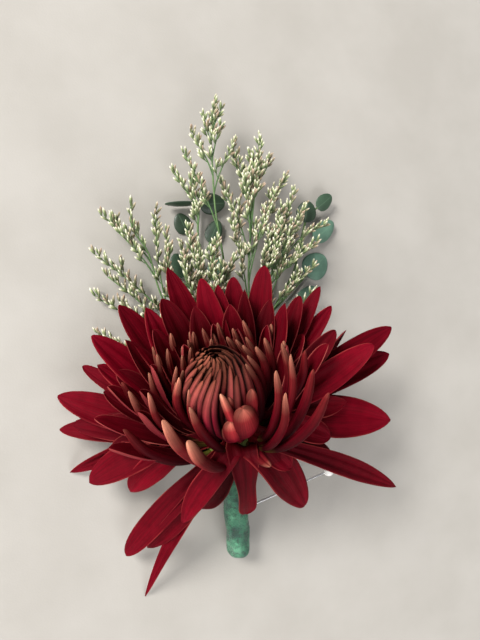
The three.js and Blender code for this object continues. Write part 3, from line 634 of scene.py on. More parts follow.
def make_egg(name, material, centre, across, along):
    """An egg-shaped body along the facing line."""
    ring = ring_about(FACING, vec(0.3, 0.2, 0.9), 28)
    heights = np.linspace(-0.999, 0.999, 18)
    pile = Pile()
    body = [centre + FACING * along * s + across * math.sqrt(1 - s * s) * ring for s in heights]
    pile.rings(body, along=(heights[:, None] + 1) / 2, tone=0.5)
    pile.build(name, [material], "bloom")


# Materials. The sizes in them are in metres.
class Finish:
    """A node material built round one principled shader."""

    def __init__(self, name, **settings):
        self.material = bpy.data.materials.new(name)
        self.material.use_nodes = True
        self.tree = self.material.node_tree
        self.shader = self.tree.nodes["Principled BSDF"]
        for socket, value in settings.items():
            self.shader.inputs[socket.replace("_", " ")].default_value = value

    def node(self, kind, inputs=None, **settings):
        made = self.tree.nodes.new("ShaderNode" + kind)
        for key, value in settings.items():
            setattr(made, key, value)
        for key, value in (inputs or {}).items():
            self.put(made.inputs[key], value)
        return made

    def put(self, socket, value):
        if isinstance(value, bpy.types.NodeSocket):
            self.tree.links.new(value, socket)
        else:
            socket.default_value = value

    def painted(self, name):
        return self.node("Attribute", attribute_name=name).outputs["Fac"]

    def maths(self, operation, *values):
        return self.node("Math", dict(enumerate(values)), operation=operation).outputs[0]

    def times(self, *values):
        return self.maths("MULTIPLY", *values)

    def noise(self, scale, vector=None, detail=3, roughness=0.55):
        vector = vector or self.node("TexCoord").outputs["Object"]
        inputs = {"Vector": vector, "Scale": scale, "Detail": detail, "Roughness": roughness}
        return self.node("TexNoise", inputs).outputs["Fac"]

    def stretched(self, *values):
        """A place whose coordinates are the given values, each times its scale."""
        scaled = [self.times(value, scale) for value, scale in values]
        return self.node("CombineXYZ", dict(enumerate(scaled))).outputs[0]

    def ramp(self, source, stops):
        """The colour at a value, from stops that are a value and its red, green and blue."""
        made = self.node("ValToRGB", {"Fac": source})
        marks = made.color_ramp.elements
        while len(marks) < len(stops):
            marks.new(0.5)
        for mark, (where, *colour) in zip(marks, stops):
            mark.position = where
            mark.color = (*colour, 1)
        return made.outputs["Color"]

    def mix(self, share, first, second):
        """Two colours mixed. The mix node's colour sockets are the seventh and the eighth."""
        made = self.node("Mix", {0: share}, data_type="RGBA")
        for k, value in ((6, first), (7, second)):
            self.put(made.inputs[k], (*value, 1) if isinstance(value, tuple) else value)
        return made.outputs[2]

    def scaled(self, colour, by):
        return self.node("VectorMath", {0: colour, "Scale": by}, operation="SCALE").outputs[0]

    def ranged(self, source, low, high, to_low=0, to_high=1):
        inputs = {"Value": source, "From Min": low, "From Max": high, "To Min": to_low, "To Max": to_high}
        return self.node("MapRange", inputs).outputs["Result"]

    def spread(self, noise, to_low, to_high):
        """A noise's usual values, from 0.3 to 0.7, spread over a range."""
        return self.ranged(noise, 0.3, 0.7, to_low, to_high)

    def colour(self, value):
        self.put(self.shader.inputs["Base Color"], value)

    def rough(self, value):
        self.put(self.shader.inputs["Roughness"], value)

    def bump(self, height, strength, distance=0.0002):
        made = self.node("Bump", {"Strength": strength, "Distance": distance, "Height": height})
        self.put(self.shader.inputs["Normal"], made.outputs["Normal"])


def petal_finish(name, face, back, edge, edge_share, sides=1, ridge_highlight=1, shade_from=0.75):
    """A velvety floret: stops of colour along its face and along its back, fine veins, painted shade at its
    sides and a painted highlight on its ridge as shares of brightness, and a colour at its edge, paler on the
    open florets and dark on the dome and the crown."""
    f = Finish(name, Roughness=0.55, Specular_IOR_Level=0.04)
    along, across, tone = f.painted("along"), f.painted("across"), f.painted("tone")
    off_ridge = f.maths("ABSOLUTE", across)
    streaks = f.noise(2.6, f.stretched((across, 5), (along, 1.1), (tone, 37)), detail=4)
    bright = f.ranged(tone, 0, 1, 0.72, 1.25)
    # The last share is painted light: a painted highlight on the ridge and painted shade towards the sides.
    for share in (
        f.spread(streaks, 0.74, 1.24),
        f.spread(f.noise(260, detail=2), 0.88, 1.12),
        f.ranged(off_ridge, 0, shade_from, ridge_highlight, sides),
    ):
        bright = f.times(bright, share)
    colour = f.scaled(f.mix(f.painted("back"), f.ramp(along, face), f.ramp(along, back)), bright)
    patches = f.ranged(f.noise(70, detail=1), 0.4, 0.62, 0.15, 1)
    # On the dome and the crown the edge colour is dark: painted shade in the gaps between their ribs.
    rim = f.times(f.ranged(off_ridge, 0.92, 1, 0, edge_share), patches)
    f.colour(f.mix(rim, colour, edge))
    f.rough(f.spread(streaks, 0.48, 0.66))
    f.bump(streaks, 0.55, 0.0003)
    return f.material


ROOT_GREEN = (0, 0.13, 0.14, 0.02)
# The outer florets' face colours, darker towards the root: partly the florets' own deep crimson and partly
# painted shade where they crowd at the heart.
PETAL_FACE = [
    (0, 0.06, 0.002, 0.002), (0.12, 0.055, 0.0005, 0.003), (0.4, 0.074, 0.0006, 0.004),
    (0.8, 0.118, 0.0008, 0.006), (1, 0.142, 0.002, 0.009),
]
# The upper florets' face colours: a darker copy of the outer ones, painted shade, as they lie deeper in the
# bloom.
UPPER_FACE_SHADED = [
    (0, 0.03, 0.001, 0.001), (0.3, 0.022, 0.0002, 0.001), (0.7, 0.042, 0.0003, 0.002),
    (1, 0.095, 0.001, 0.005),
]
PETAL_BACK = [
    ROOT_GREEN, (0.1, 0.05, 0.004, 0.004), (0.6, 0.16, 0.01, 0.018), (1, 0.24, 0.035, 0.036),
]
# The middle florets' face colours, near black low down: partly their own deep crimson and partly painted
# shade deep among the fingers.
INNER_FACE = [
    ROOT_GREEN, (0.1, 0.012, 0.0008, 0.001), (0.5, 0.045, 0.0005, 0.0025), (1, 0.13, 0.0015, 0.007),
]
# The face colour of the quilled, incurved and crown florets, darker than the open ones: it is also the
# painted shade in the quills' creases.
QUILL_FACE = [
    ROOT_GREEN, (0.1, 0.008, 0.0006, 0.001), (0.5, 0.035, 0.0006, 0.002), (1, 0.1, 0.004, 0.006),
]
QUILL_BACK = [
    ROOT_GREEN, (0.12, 0.09, 0.05, 0.012), (0.22, 0.035, 0.001, 0.003), (0.55, 0.12, 0.0024, 0.008),
    (0.76, 0.19, 0.014, 0.016), (0.89, 0.42, 0.125, 0.085), (1, 0.8, 0.35, 0.215),
]
# The dome's backs, crimson below and bronze towards the tips; darker towards the foot, partly their own deep
# crimson and partly painted shade among the fingers.
DOME_BACK = [
    (0, 0.02, 0.001, 0.002), (0.3, 0.08, 0.003, 0.008), (0.55, 0.11, 0.005, 0.012),
    (0.86, 0.165, 0.034, 0.028), (1, 0.14, 0.036, 0.022),
]
# The crown's backs: near black towards the root as painted shade deep in the dome's open top, bronze at the
# tips.
CROWN_BACK = [
    (0, 0.008, 0.0005, 0.001), (0.6, 0.07, 0.006, 0.007), (0.88, 0.16, 0.042, 0.026),
    (1, 0.19, 0.06, 0.034),
]
outer_red = petal_finish("petal_outer", PETAL_FACE, PETAL_BACK, (0.36, 0.045, 0.04), 0.6)
upper_red_shaded = petal_finish("petal_upper_shaded", UPPER_FACE_SHADED, PETAL_BACK, (0.3, 0.05, 0.04), 0.6)
inner_red = petal_finish("petal_inner", INNER_FACE, PETAL_BACK, (0.45, 0.1, 0.08), 0.7)
# The quills' sides get painted shade and their ridges a painted highlight.
quill_red = petal_finish(
    "petal_quill", QUILL_FACE, QUILL_BACK, (0.3, 0.07, 0.05), 0.5, sides=0.45, ridge_highlight=1.4
)
# Painted shade at the dome florets' sides and dark edges where the ribs meet, with a painted highlight on
# each rib's ridge.
dome_red = petal_finish(
    "petal_incurved", QUILL_FACE, DOME_BACK, (0.05, 0.005, 0.005), 0.8, sides=0.04, ridge_highlight=1.8, shade_from=0.66
)
# Painted shade at the crown florets' sides and dark edges between them, with a painted highlight on their
# ridges.
crown_red = petal_finish(
    "petal_crown", QUILL_FACE, CROWN_BACK, (0.03, 0.003, 0.003), 0.6, sides=0.15, ridge_highlight=1.6
)


def plant_finish(name, root, tip):
    """Fresh green growth, and the near-black painted shade inside the dome: a colour at its root and one at
    its tip, with fine mottling.
    """
    f = Finish(name, Roughness=0.55)
    mottle = f.noise(500)
    shade = f.maths("ADD", mottle, f.times(f.painted("tone"), 0.3))
    shade = f.ranged(shade, 0.35, 0.95, 0.7, 1.3)
    f.colour(f.scaled(f.ramp(f.painted("along"), [(0, *root), (1, *tip)]), shade))
    f.bump(mottle, 0.3)
    return f.material


def bud_finish():
    """A bud: green at its foot, cream at its tip, a few of them browned."""
    f = Finish("bud_cream", Roughness=0.6, Sheen_Weight=0.15)
    along, tone = f.painted("along"), f.painted("tone")
    fresh = f.ramp(along, [
        (0, 0.05, 0.09, 0.03), (0.4, 0.13, 0.18, 0.06), (0.66, 0.38, 0.43, 0.21),
        (0.86, 0.88, 0.84, 0.65),
    ])
    browned = f.ramp(along, [
        (0, 0.06, 0.08, 0.03), (0.45, 0.16, 0.14, 0.07), (0.75, 0.36, 0.25, 0.16),
        (0.95, 0.62, 0.45, 0.34),
    ])
    ribs = f.noise(3, f.stretched((f.painted("across"), 3), (along, 1), (tone, 51)))
    f.colour(f.scaled(f.mix(f.ranged(tone, 0.55, 0.9), fresh, browned), f.spread(ribs, 0.8, 1.15)))
    f.bump(ribs, 0.4)
    return f.material


def leaf_finish():
    """A waxy blue-green leaf with a pale midrib and side veins."""
    f = Finish("leaf_wax", Roughness=0.42, Coat_Weight=0.15, Coat_Roughness=0.35)
    off_rib = f.maths("ABSOLUTE", f.painted("across"))
    rib = f.ranged(off_rib, 0, 0.07, 1, 0)
    slant = f.maths("ADD", f.times(f.painted("along"), 9), f.times(off_rib, -3.2))
    wave = f.maths("ABSOLUTE", f.maths("SINE", f.times(slant, math.pi)))
    lines = f.maths("MAXIMUM", rib, f.ranged(wave, 0, 0.18, 0.55, 0))
    mottle = f.noise(220, detail=4)
    # The tone picks each leaf's green from dark to pale; the dark end is partly painted shade.
    tones = [(0, 0.024, 0.046, 0.024), (0.5, 0.05, 0.1, 0.058), (1, 0.15, 0.29, 0.21)]
    green = f.scaled(f.ramp(f.painted("tone"), tones), f.spread(mottle, 0.75, 1.25))
    f.colour(f.mix(f.times(lines, 0.3), green, (0.22, 0.36, 0.22)))
    f.rough(f.spread(mottle, 0.36, 0.52))
    f.bump(lines, -0.5)
    return f.material


def tape_finish():
    """Stretched crepe tape: fine cross wrinkles, mint where stretched and dark green where doubled."""
    f = Finish("tape_crepe", Roughness=0.62, Sheen_Weight=0.2, Coat_Weight=0.1, Coat_Roughness=0.4)
    along, tone = f.painted("along"), f.painted("tone")
    crepe = f.noise(2.2, f.stretched((f.painted("across"), 40), (along, 10), (0, 1)), detail=5)
    blotch = f.maths("ADD", f.noise(190, roughness=0.6), f.times(tone, 0.08))
    mint = f.ramp(blotch, [
        (0.36, 0.004, 0.05, 0.033), (0.46, 0.01, 0.11, 0.056), (0.58, 0.03, 0.19, 0.092),
        (0.74, 0.095, 0.33, 0.185),
    ])
    flecks = f.ranged(f.noise(620, detail=2), 0.36, 0.5, 0.45, 1)
    f.colour(f.scaled(mint, f.times(f.spread(crepe, 0.62, 1.25), flecks)))
    f.rough(f.spread(crepe, 0.5, 0.75))
    f.bump(f.maths("ADD", crepe, f.times(flecks, 0.4)), 0.9, 0.0004)
    return f.material


def steel_finish():
    """Bright drawn wire."""
    f = Finish("pin_steel", Metallic=0.8, Roughness=0.3)
    drawn = f.noise(900, detail=2)
    f.colour(f.ramp(drawn, [(0.3, 0.82, 0.82, 0.83), (0.7, 0.95, 0.95, 0.96)]))
    f.rough(f.spread(drawn, 0.26, 0.42))
    return f.material


def pearl_finish():
    """A cloudy white bead, pinkish grey towards the rim it shows the camera: a painted sheen."""
    f = Finish("pin_pearl", Roughness=0.3, Coat_Weight=0.5, Coat_Roughness=0.1, Specular_IOR_Level=0.5)
    cloud = f.noise(420)
    warm = f.ramp(cloud, [(0.3, 0.9, 0.87, 0.8), (0.5, 0.95, 0.93, 0.88), (0.7, 0.94, 0.91, 0.91)])
    # Painted sheen at the rim the bead shows the camera.
    rim_sheen = f.node("LayerWeight", {"Blend": 0.35}).outputs["Facing"]
    f.colour(f.mix(rim_sheen, warm, (0.84, 0.8, 0.78)))
    f.bump(cloud, 0.05, 0.0001)
    return f.material


stem_green = plant_finish("stem_green", (0.09, 0.19, 0.05), (0.14, 0.26, 0.07))
twig_green = plant_finish("twig_green", (0.055, 0.125, 0.035), (0.12, 0.21, 0.07))
# A near-black finish for the body inside the dome: painted shade in the dome's hollow middle.
heart_painted_shade = plant_finish("heart_painted_shade", (0.03, 0.003, 0.003), (0.04, 0.006, 0.004))
heart_green = plant_finish("heart_green", (0.1, 0.16, 0.03), (0.16, 0.2, 0.035))
bud_cream, leaf_wax, tape_crepe = bud_finish(), leaf_finish(), tape_finish()

# The camera stands where the photograph's did.
CAMERA_PLACE = vec(-43.9, 33.3, 187.6)
CAMERA_FORWARD = Vector((0.273, 0.022, -0.962)).normalized()
CAMERA_RIGHT = Vector((0.9622, 0.0, 0.2731))


def make_camera():
    data = bpy.data.cameras.new("camera")
    data.sensor_fit = "VERTICAL"
    data.sensor_width = data.sensor_height = 36
    data.lens = 29.25
    camera = placed("camera", data)
    right = (CAMERA_RIGHT - CAMERA_RIGHT.dot(CAMERA_FORWARD) * CAMERA_FORWARD).normalized()
    upright = right.cross(CAMERA_FORWARD)
    place = (CAMERA_PLACE + SHIFT) * MM
    rows = [[right[k], upright[k], -CAMERA_FORWARD[k], place[k]] for k in range(3)]
    camera.matrix_world = Matrix(rows + [[0, 0, 0, 1]])
    bpy.context.scene.camera = camera


make_camera()

make_outer_florets()
make_middle_florets()
make_quilled_florets()
make_dome()
make_crown()
# A dark egg inside the dome: painted shade that shows between the incurved and the crown florets.
make_egg("bloom_shade_core", heart_painted_shade, HEART + FACING * 15.5, 9.2, 12.5)
make_egg(
    "bloom_receptacle", heart_green, HEART,
    across=RECEPTACLE["across"] - 0.4, along=RECEPTACLE["along"] - 0.3,
)

# The bound bundle.
TAPE_FOOT, TAPE_MOUTH = vec(8, -47.6, 3.5), vec(2.7, -13, 14.6)
TAPE = {"bore": 3.6, "wall": 0.6, "lap": 0.25, "pitch": 6.5, "rounded": 2.6, "sides": 96, "steps": 230}
# How far inside the tape's outside, and how deep in its mouth, the rings of its inner lip lie.
TAPE_LIP = [(0.75, 0.3), (1.0, 1.2), (1.1, 4.0)]
BUNDLE = unit(TAPE_MOUTH - TAPE_FOOT)
BUNDLE_LENGTH = np.linalg.norm(TAPE_MOUTH - TAPE_FOOT)
BUNDLE_TOP = square_to(UP, BUNDLE)
BUNDLE_RIGHT = np.cross(BUNDLE, BUNDLE_TOP)
STEM_END = 1.8
FOLIAGE = {"circle": 2.75, "places": 8}
LAST_BUD = 2.8


def in_bundle(distance, radius, turn):
    across = BUNDLE_TOP * radius * math.cos(turn) + BUNDLE_RIGHT * radius * math.sin(turn)
    return TAPE_FOOT + BUNDLE * distance + across


def shortened(start, tip):
    """The end of a twig that leaves room for its last bud before the tip."""
    start, tip = vec(*start), vec(*tip)
    return tip + unit(start - tip) * LAST_BUD


def foliage_line(place, points):
    """A stem's line, straight in its place in the bundle and then through points."""
    turn = math.pi / 2 + math.pi * (place - 1) / (FOLIAGE["places"] - 1)
    straight = [in_bundle(d, FOLIAGE["circle"], turn) for d in (STEM_END, 12, 24, BUNDLE_LENGTH + 1)]
    return threaded(straight + [vec(*p) for p in points])


def make_tape():
    """The wound tape: each turn laps over the last one, and its surface is creased and a little lumpy."""
    pile = Pile()
    rings, laps, across = [], [], []
    sides, outside = TAPE["sides"], TAPE["bore"] + TAPE["wall"]
    for step in range(TAPE["steps"] + 1):
        distance = BUNDLE_LENGTH * (step / TAPE["steps"])
        foot = 1 - min(1, distance / TAPE["rounded"])
        rounding = min(1, 0.30 + 0.70 * math.sqrt(max(0, 1 - foot**2)))
        row = []
        for side in range(sides):
            turn = 2 * math.pi * side / sides
            lap = (distance / TAPE["pitch"] + side / sides) % 1
            step_up = 0.5 * TAPE["lap"] * (lap if lap < 0.9 else (1 - lap) * 9)
            crease = 0.07 * math.sin(26 * turn + 9 * math.sin(0.8 * distance))
            crease *= math.sin(1.7 * distance + 3 * turn)
            lump = 0.16 * math.sin(3 * turn + 0.35 * distance) + 0.1 * math.sin(5 * turn - 0.5 * distance)
            row.append(in_bundle(distance, (outside + step_up + crease + lump) * rounding - 0.12, turn))
            laps.append(lap)
            across.append(side / sides + distance / TAPE["pitch"] / 6)
        rings.append(row)
    for inset, depth in TAPE_LIP:
        rings.append([in_bundle(BUNDLE_LENGTH - depth, outside - inset, turn) for turn in all_round(sides)])
        across += [side / sides for side in range(sides)]
    lip = sides * len(TAPE_LIP)
    along, across, tone = (
        np.reshape(values, (-1, sides)) for values in (laps + [0.5] * lip, across, laps + [0.0] * lip)
    )
    pile.rings(rings, along=along, across=across, tone=tone)
    pile.build("floral_tape", [tape_crepe], "stem_tape")


# The calyx cup: radii and heights from the heart, and rows of bracts on it with the heights and the radii of
# their roots and tips, and their number.
CUP = [
    (0.02, -11.8), (1.6, -11.7), (2.6, -11.3), (3.5, -10.4), (5.2, -9.2), (6.6, -8.1), (7.6, -7.1),
    (8.3, -6.2), (8.9, -5.0), (9.3, -3.6), (8.6, -2.6), (0.02, -2.4),
]
CUP_SIDES = 40
BRACT_ROWS = [(-11.0, -7.4, 3.2, 7.6, 9), (-9.4, -5.2, 5.3, 9.0, 12), (-7.8, -3.4, 7.2, 9.7, 15)]


def make_bract(pile, around, low, high, radius_low, radius_high, seed):
    outward = outward_at(around)
    root = HEART + FACING * low + outward * radius_low
    tip = HEART + FACING * high + outward * (radius_high + 0.35)
    line = bent(root, (root + tip) / 2 + (outward - FACING) * 0.7, tip, 40)
    stations = []
    for share in station_shares(9, 4):
        half = 1.25 * lerp(0.5, 1, smooth(share, 0, 0.4)) * max(0.05, 1 - smooth(share, 0.5, 1.02))
        stations.append((share, line.at(share), line.run(share), -outward, half, 34))
    floret_blade(pile, stations, tone_of(seed), cross=7, thick=0.4, rim=0.15, groove=0)


def make_flower_stem():
    pile = Pile()
    points = [in_bundle(d, 1.15, 0) for d in (STEM_END, 14, 27, BUNDLE_LENGTH)] + [HEART - FACING * 11.5]
    tube(pile, threaded(points), lambda share: 2.0, even(60), 30, tone=0.4, ribs=0.035, rib_count=9)
    ring = circle(all_round(CUP_SIDES), DOWNSIDE, RIGHTSIDE)
    cup = [HEART + FACING * height + radius * ring for radius, height in CUP]
    pile.rings(cup, along=even(len(CUP) - 1)[:, None], tone=0.3)
    for row, (*edges, count) in enumerate(BRACT_ROWS):
        for k in range(count):
            seed = 900 + 20 * row + k
            make_bract(pile, 360 / count * (k + 0.5 * row) + 5 * scatter(seed), *edges, seed)
    pile.build("flower_stem_calyx", [stem_green], "flower_stem")


make_tape()
make_flower_stem()

# The sea lavender. Each spray has its place in the bundle, the fewest buds in a spikelet, the most shoots on
# a twig, its main stem's points, and its side twigs: where along the stem a twig leaves, and where the tip of
# its last bud lies.
SPRAYS = {
    "sea_lavender_left": (7, 2, 2, [
        (-3, 4, 10.5), (-9, 20, 9), (-14, 33, 8), (-19, 41, 8), (-22, 48, 8), (-26, 61, 8), (-31, 68, 9),
        (-32, 78, 10),
    ], [
        (0.84, -43, 74, 7), (0.7, -24, 77, 11), (0.62, -45, 61, 6), (0.56, -41, 54, 4), (0.5, -45, 47, 1.5),
        (0.36, -44, 34, 2), (0.66, -20, 69, 10), (0.8, -38, 69, 10), (0.48, -37, 45, 7),
    ]),
    "sea_lavender_inner_left": (6, 2, 3, [
        (-1, 5, 8.5), (-4, 25, 6.5), (-6, 45, 6), (-6, 58, 6), (-8, 68, 6), (-8, 76, 6.5), (-14, 85, 7),
        (-18, 91, 7),
    ], [
        (0.82, -7, 86, 7), (0.88, -12, 89, 9),
    ]),
    "sea_lavender_tall": (4, 2, 1, [
        (1.2, 5, 9.4), (2, 25, 9), (2, 44, 11), (0, 58, 12), (-3, 76, 12), (-4, 90, 12), (-4.5, 102, 12),
        (-3, 116, 12),
    ], [
        (0.72, -15, 97, 11), (0.8, 5, 102, 12), (0.84, -13, 104, 12), (0.9, -8, 110, 12), (0.93, 0, 113, 12),
        (0.87, -1, 107, 14),
    ]),
    "sea_lavender_centre": (2, 3, 3, [
        (4.5, 5, 9.8), (8, 25, 9), (10, 44, 9), (10, 57, 9), (11, 70, 9), (11, 79, 10), (13, 90, 10),
        (14, 104, 10),
    ], [
        (0.81, 3, 100, 10.4), (0.72, -1, 88, 9), (0.69, 24, 91, 10), (0.85, 18, 98, 9), (0.6, 3, 75, 10),
        (0.86, 9, 97, 13), (0.79, 12, 94, 15), (0.76, 7, 90, 14), (0.66, 19, 84, 13),
    ]),
    "sea_lavender_right": (1, 3, 3, [
        (7, 6, 10), (12, 25, 8.5), (15, 44, 8), (19, 54, 8), (25, 62, 8.5), (33, 70, 9), (42, 74, 9),
    ], [
        (0.56, 32, 81, 9), (0.58, 27, 86, 11), (0.62, 22, 80, 12), (0.68, 22, 73, 13), (0.74, 29, 76, 13),
        (0.6, 37, 59, 7), (0.72, 37, 67, 10), (0.5, 37, 49, 8), (0.54, 17, 70, 12),
    ]),
    "sea_lavender_low": (8, 3, 3, [
        (-3, 6, 12.5), (-5, 25, 12.5), (-7, 42, 14), (-9, 54, 15), (-10, 64, 16),
    ], [
        (0.72, -16, 64, 15), (0.8, -14, 70, 16), (0.78, -3, 66, 16), (0.7, 3, 60, 17), (0.62, -22, 56, 14),
        (0.66, -16, 58, 18), (0.64, -2, 57, 19),
    ]),
}
# A bud's radii and heights.
BUD_SHAPE = [
    (0.02, 0.0), (0.26, 0.2), (0.44, 0.9), (0.38, 1.5), (0.43, 2.0), (0.30, 2.7), (0.13, 3.1), (0.02, 3.25),
]
BUD_SIDES = 7
BUD_SPACING = 1.45


def bud(pile, root, way, size, seed):
    ring = ring_about(way, vec(0.31, 0.17, 0.93), BUD_SIDES)
    pile.rings(
        [root + way * height * size + size * radius * ring for radius, height in BUD_SHAPE], 1,
        along=[[height / BUD_SHAPE[-1][1]] for _, height in BUD_SHAPE], across=np.cos(all_round(BUD_SIDES)),
        tone=tone_of(seed),
    )


def buds_along(pile, line, bare, seed, fewest):
    """Spikelets on alternate sides of a twig, each of a few upright buds."""
    count = max(2, round(line.length * (1 - bare) / BUD_SPACING))
    for place in range(count + 1):
        share = lerp(bare, 1, place / count)
        run = line.run(share)
        sideways = unit(np.cross(run, UP))
        hand = 0 if place == count else by_turns(place)
        lean = unit(run + vec(0, 0.75, 0) + sideways * hand * 0.6 + UP * 0.35 * (1 + scatter(seed + place)))
        for k in range(fewest + (place + seed) % 2):
            s = seed + place + 0.31 * k + 0.11
            way = unit(lean + 0.45 * vec(scatter(s), scatter(s + 0.2) + 0.2, 0.9 * scatter(s + 0.4)))
            root = line.at(share) + way * 0.15 + lean * 0.6 * k * (0.8 + 0.2 * scatter(s + 0.9))
            bud(pile, root, way, 0.9 + 0.18 * scatter(s + 0.7), s)


def branchlet(pile, line, share, hand, length, seed, fewest):
    """A short side shoot that curves up out of a twig, with its own buds."""
    root, run = line.at(share), line.run(share)
    sideways = unit(np.cross(run, UP)) * hand
    way = unit(run * 0.7 + sideways * 0.8 + UP * 0.25 * scatter(seed))
    end = root + unit(run + sideways * 0.45 + vec(0, 0.55, 0) + UP * 0.3 * scatter(seed + 0.4)) * length
    shoot = arched(root, way, 0.45, end, 40)
    tube(pile, shoot, lambda share: 0.18, even(8), 6, tone=0.6)
    buds_along(pile, shoot, 0.35, seed + 7, fewest)


def make_spray(node, seed, place, fewest, most_shoots, stem, twigs):
    pile = Pile()
    main = foliage_line(place, [*stem[:-1], shortened(stem[-2], stem[-1])])
    bound = BUNDLE_LENGTH / main.length
    tube(pile, main, lambda share: 0.45 if share < bound else lerp(0.55, 0.26, share), even(90), 8, tone=0.3)
    for order, (share, *tip) in enumerate(twigs):
        root, end = main.at(share), shortened(main.at(share), tip)
        twig = arched(root, unit(main.run(share) + unit(end - root)), 0.42, end)
        tube(pile, twig, lambda share: lerp(0.3, 0.2, share), even(14), 7, tone=0.6)
        buds_along(pile, twig, 0.5, seed + 20 * order, fewest)
        shoots = int(np.clip(round(twig.length / 8), 1, most_shoots))
        for k in range(shoots):
            where = lerp(0.3, 0.72, k / max(1, shoots - 1))
            length = 4 + 1.1 * scatter(seed + order + k)
            branchlet(pile, twig, where, by_turns(k), length, seed + 31 * order + k, fewest)
    buds_along(pile, main, 0.93, seed + 500, fewest)
    for k in range(2):
        length = 2.6 + 0.6 * scatter(seed + k)
        branchlet(pile, main, 0.87 + 0.045 * k, by_turns(k), length, seed + 600 + k, fewest)
    pile.build(node + "_spray", [twig_green, bud_cream], node)


for order, (node, spray) in enumerate(SPRAYS.items(), 1):
    make_spray(node, 1000 * order, *spray)

# The eucalyptus. Each twig has its place in the bundle, its stem's points and its leaves: where along the
# stem a leaf leaves, its centre, its length and width, its tilt to one side, and its tone. The left twig's
# leaves have darker tones: partly their own colour and partly painted shade.
EUCALYPTUS = {
    "eucalyptus_left": (5, [
        (0.5, 4, 6), (-2, 25, 3), (-5, 45, 2.4), (-7, 62, 2), (-7, 76, 2), (-6, 82, 2),
    ], [
        (0.985, (-14, 79.5, 3.2), 11, 5, -82, 0.2), (0.98, (-2, 80, 2.5), 9.5, 7.5, 12, 0.1),
        (0.84, (-12.5, 72.5, 0), 8, 6.5, 0, 0.05), (0.8, (-1, 70, 1.2), 9, 6, -8, 0.25),
        (0.62, (-14, 57, 2), 9, 7, 10, 0.5), (0.6, (0, 56, 1.6), 9, 7, -6, 0.6),
    ]),
    "eucalyptus_right": (3, [
        (5, 5, 6), (13, 25, 3), (22, 42, 2.4), (30, 56, 2), (33, 68, 2), (36, 78, 2.2), (38, 81, 2.6),
    ], [
        (0.98, (42, 83.5, 3.6), 8, 6, 15, 0.4), (0.9, (34.5, 79, 4), 8.5, 7.5, -14, 0.15),
        (0.86, (42.5, 72.5, 2), 11, 7.5, 12, 0.85), (0.68, (40, 59, 0), 11, 10.5, 0, 0.95),
        (0.62, (24, 63, 1), 10, 8, -6, 0.5), (0.5, (35, 46, 2), 12, 8, 10, 0.8),
    ]),
}
LEAF_STATIONS = np.concatenate([[-1, -0.985, -0.95], np.linspace(-0.88, 0.88, 17), [0.95, 0.985, 1]])


def make_leaf(pile, root, centre, length, width, tilt, tone):
    run = unit((centre - root) * vec(1, 1, 0))
    side = turned(unit(np.cross(UP, run)), run, tilt)
    up = np.cross(run, side)
    stations = []
    for s in LEAF_STATIONS:
        half = max(0.06, width / 2 * math.sqrt(1 - s * s) * (1 - 0.16 * s))
        here = centre + run * length / 2 * s + up * (0.45 + 0.35 * math.cos(1.4 * s))
        stations.append(((s + 1) / 2, here, run, -up, half, 16))
    floret_blade(pile, stations, tone, cross=15, thick=0.42, groove=0, material=1)
    seat = centre - run * length * 0.42 + up * 0.5
    stalk = bent(root, (root + seat) / 2 + UP * 0.4, seat, 30)
    tube(pile, stalk, lambda share: lerp(0.42, 0.3, share), even(10), 8, tone=0.7)


def make_eucalyptus(node, place, stem, leaves):
    pile = Pile()
    line = foliage_line(place, stem)
    tube(pile, line, lambda share: lerp(0.55, 0.4, share), even(90), 9, tone=0.7)
    for share, centre, *shape in leaves:
        make_leaf(pile, line.at(share), vec(*centre), *shape)
    pile.build(node + "_twig", [twig_green, leaf_wax], node)


for node, twig in EUCALYPTUS.items():
    make_eucalyptus(node, *twig)

PIN_AIM = vec(5.5, -29.6, 11)
PIN_RADIUS, PIN_LENGTH, PIN_TIP = 0.4, 36.5, 3
PEARL_SIDES = 40


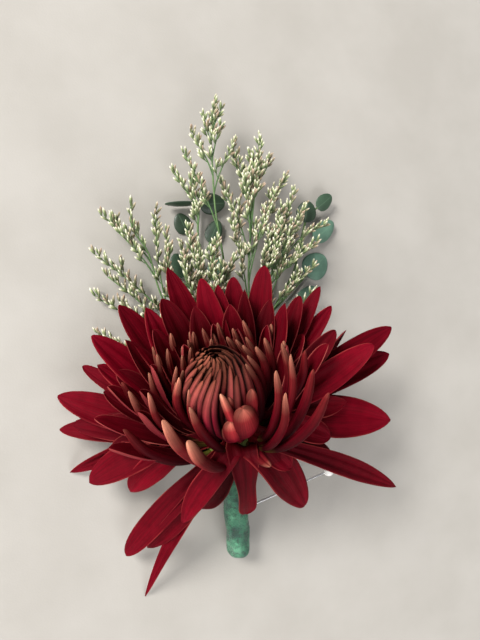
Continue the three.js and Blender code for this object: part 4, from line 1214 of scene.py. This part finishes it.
def make_pin():
    way = unit(PIN_AIM - PIN_HEAD_CENTRE)
    root = PIN_HEAD_CENTRE + way * PIN_HEAD_RADIUS * 0.3
    shaft, first = (1 - reach / PIN_LENGTH for reach in (PIN_TIP, PIN_TIP - 0.3))
    shares = np.concatenate([np.linspace(0, shaft, 12), np.linspace(first, 1, 10)])
    wire = Pile()
    tube(
        wire, Line([root, root + way * PIN_LENGTH]),
        lambda share: PIN_RADIUS * min(1, max(0.04, (1 - share) * PIN_LENGTH / PIN_TIP) ** 0.8), shares, 24,
    )
    wire.build("pin_wire", [steel_finish()], "pin_shaft")
    ring = ring_about(way, UP, PEARL_SIDES)
    rings = []
    for a in np.linspace(0.01, math.pi - 0.01, 26):
        reach, height = PIN_HEAD_RADIUS * math.sin(a), -PIN_HEAD_RADIUS * math.cos(a)
        if height > PIN_HEAD_RADIUS * 0.94:
            reach, height = min(reach, 0.62), PIN_HEAD_RADIUS * 0.98
        rings.append(PIN_HEAD_CENTRE + way * height + reach * ring)
    pearl = Pile()
    pearl.rings(rings, along=0.5, tone=0.5)
    pearl.build("pin_pearl_head", [pearl_finish()], "pin_head")


make_pin()

# The floor and the light, in metres.
FLOOR_REACH = 1.5
FLOOR_COLOURS = [(0.35, 0.41, 0.385, 0.348), (0.65, 0.45, 0.425, 0.388)]
LIGHT_AIM = Vector((0, 0, 0.02))
# Each lamp's name, place, power, size and colour.
LAMPS = [
    ("window", (-1.1, 0.80, 1.0), 39.0, 0.64, (1.0, 0.985, 0.96)),
    ("fill", (0.3, -1.4, 1.2), 24.0, 1.4, (0.97, 0.98, 1.0)),
    ("side", (-1.3, -0.70, 0.84), 15.0, 1.2, (1.0, 0.985, 0.97)),
]


def make_floor():
    mesh = bpy.data.meshes.new("floor")
    corners = [(x * FLOOR_REACH, y * FLOOR_REACH, 0) for x, y in ((-1, -1), (1, -1), (1, 1), (-1, 1))]
    mesh.from_pydata(corners, [], [(0, 1, 2, 3)])
    floor = placed("floor", mesh)
    pale = Finish("floor_pale", Roughness=0.85)
    pale.colour(pale.ramp(pale.noise(30.0, detail=4.0), FLOOR_COLOURS))
    pale.bump(pale.noise(1400.0, detail=1.0), 0.15)
    mesh.materials.append(pale.material)


def make_lights():
    world = bpy.data.worlds.new("studio")
    bpy.context.scene.world = world
    world.use_nodes = True
    sky = world.node_tree.nodes["Background"].inputs
    sky["Color"].default_value = (0.95, 0.97, 1.0, 1)
    sky["Strength"].default_value = 0.25
    for name, place, energy, size, colour in LAMPS:
        data = bpy.data.lights.new(name, "AREA")
        data.energy, data.size, data.color = energy, size, colour
        lamp = placed(name, data)
        lamp.location = place
        lamp.rotation_euler = (LIGHT_AIM - Vector(place)).to_track_quat("-Z", "Y").to_euler()


make_floor()
make_lights()
bpy.context.scene.view_settings.view_transform = "Standard"
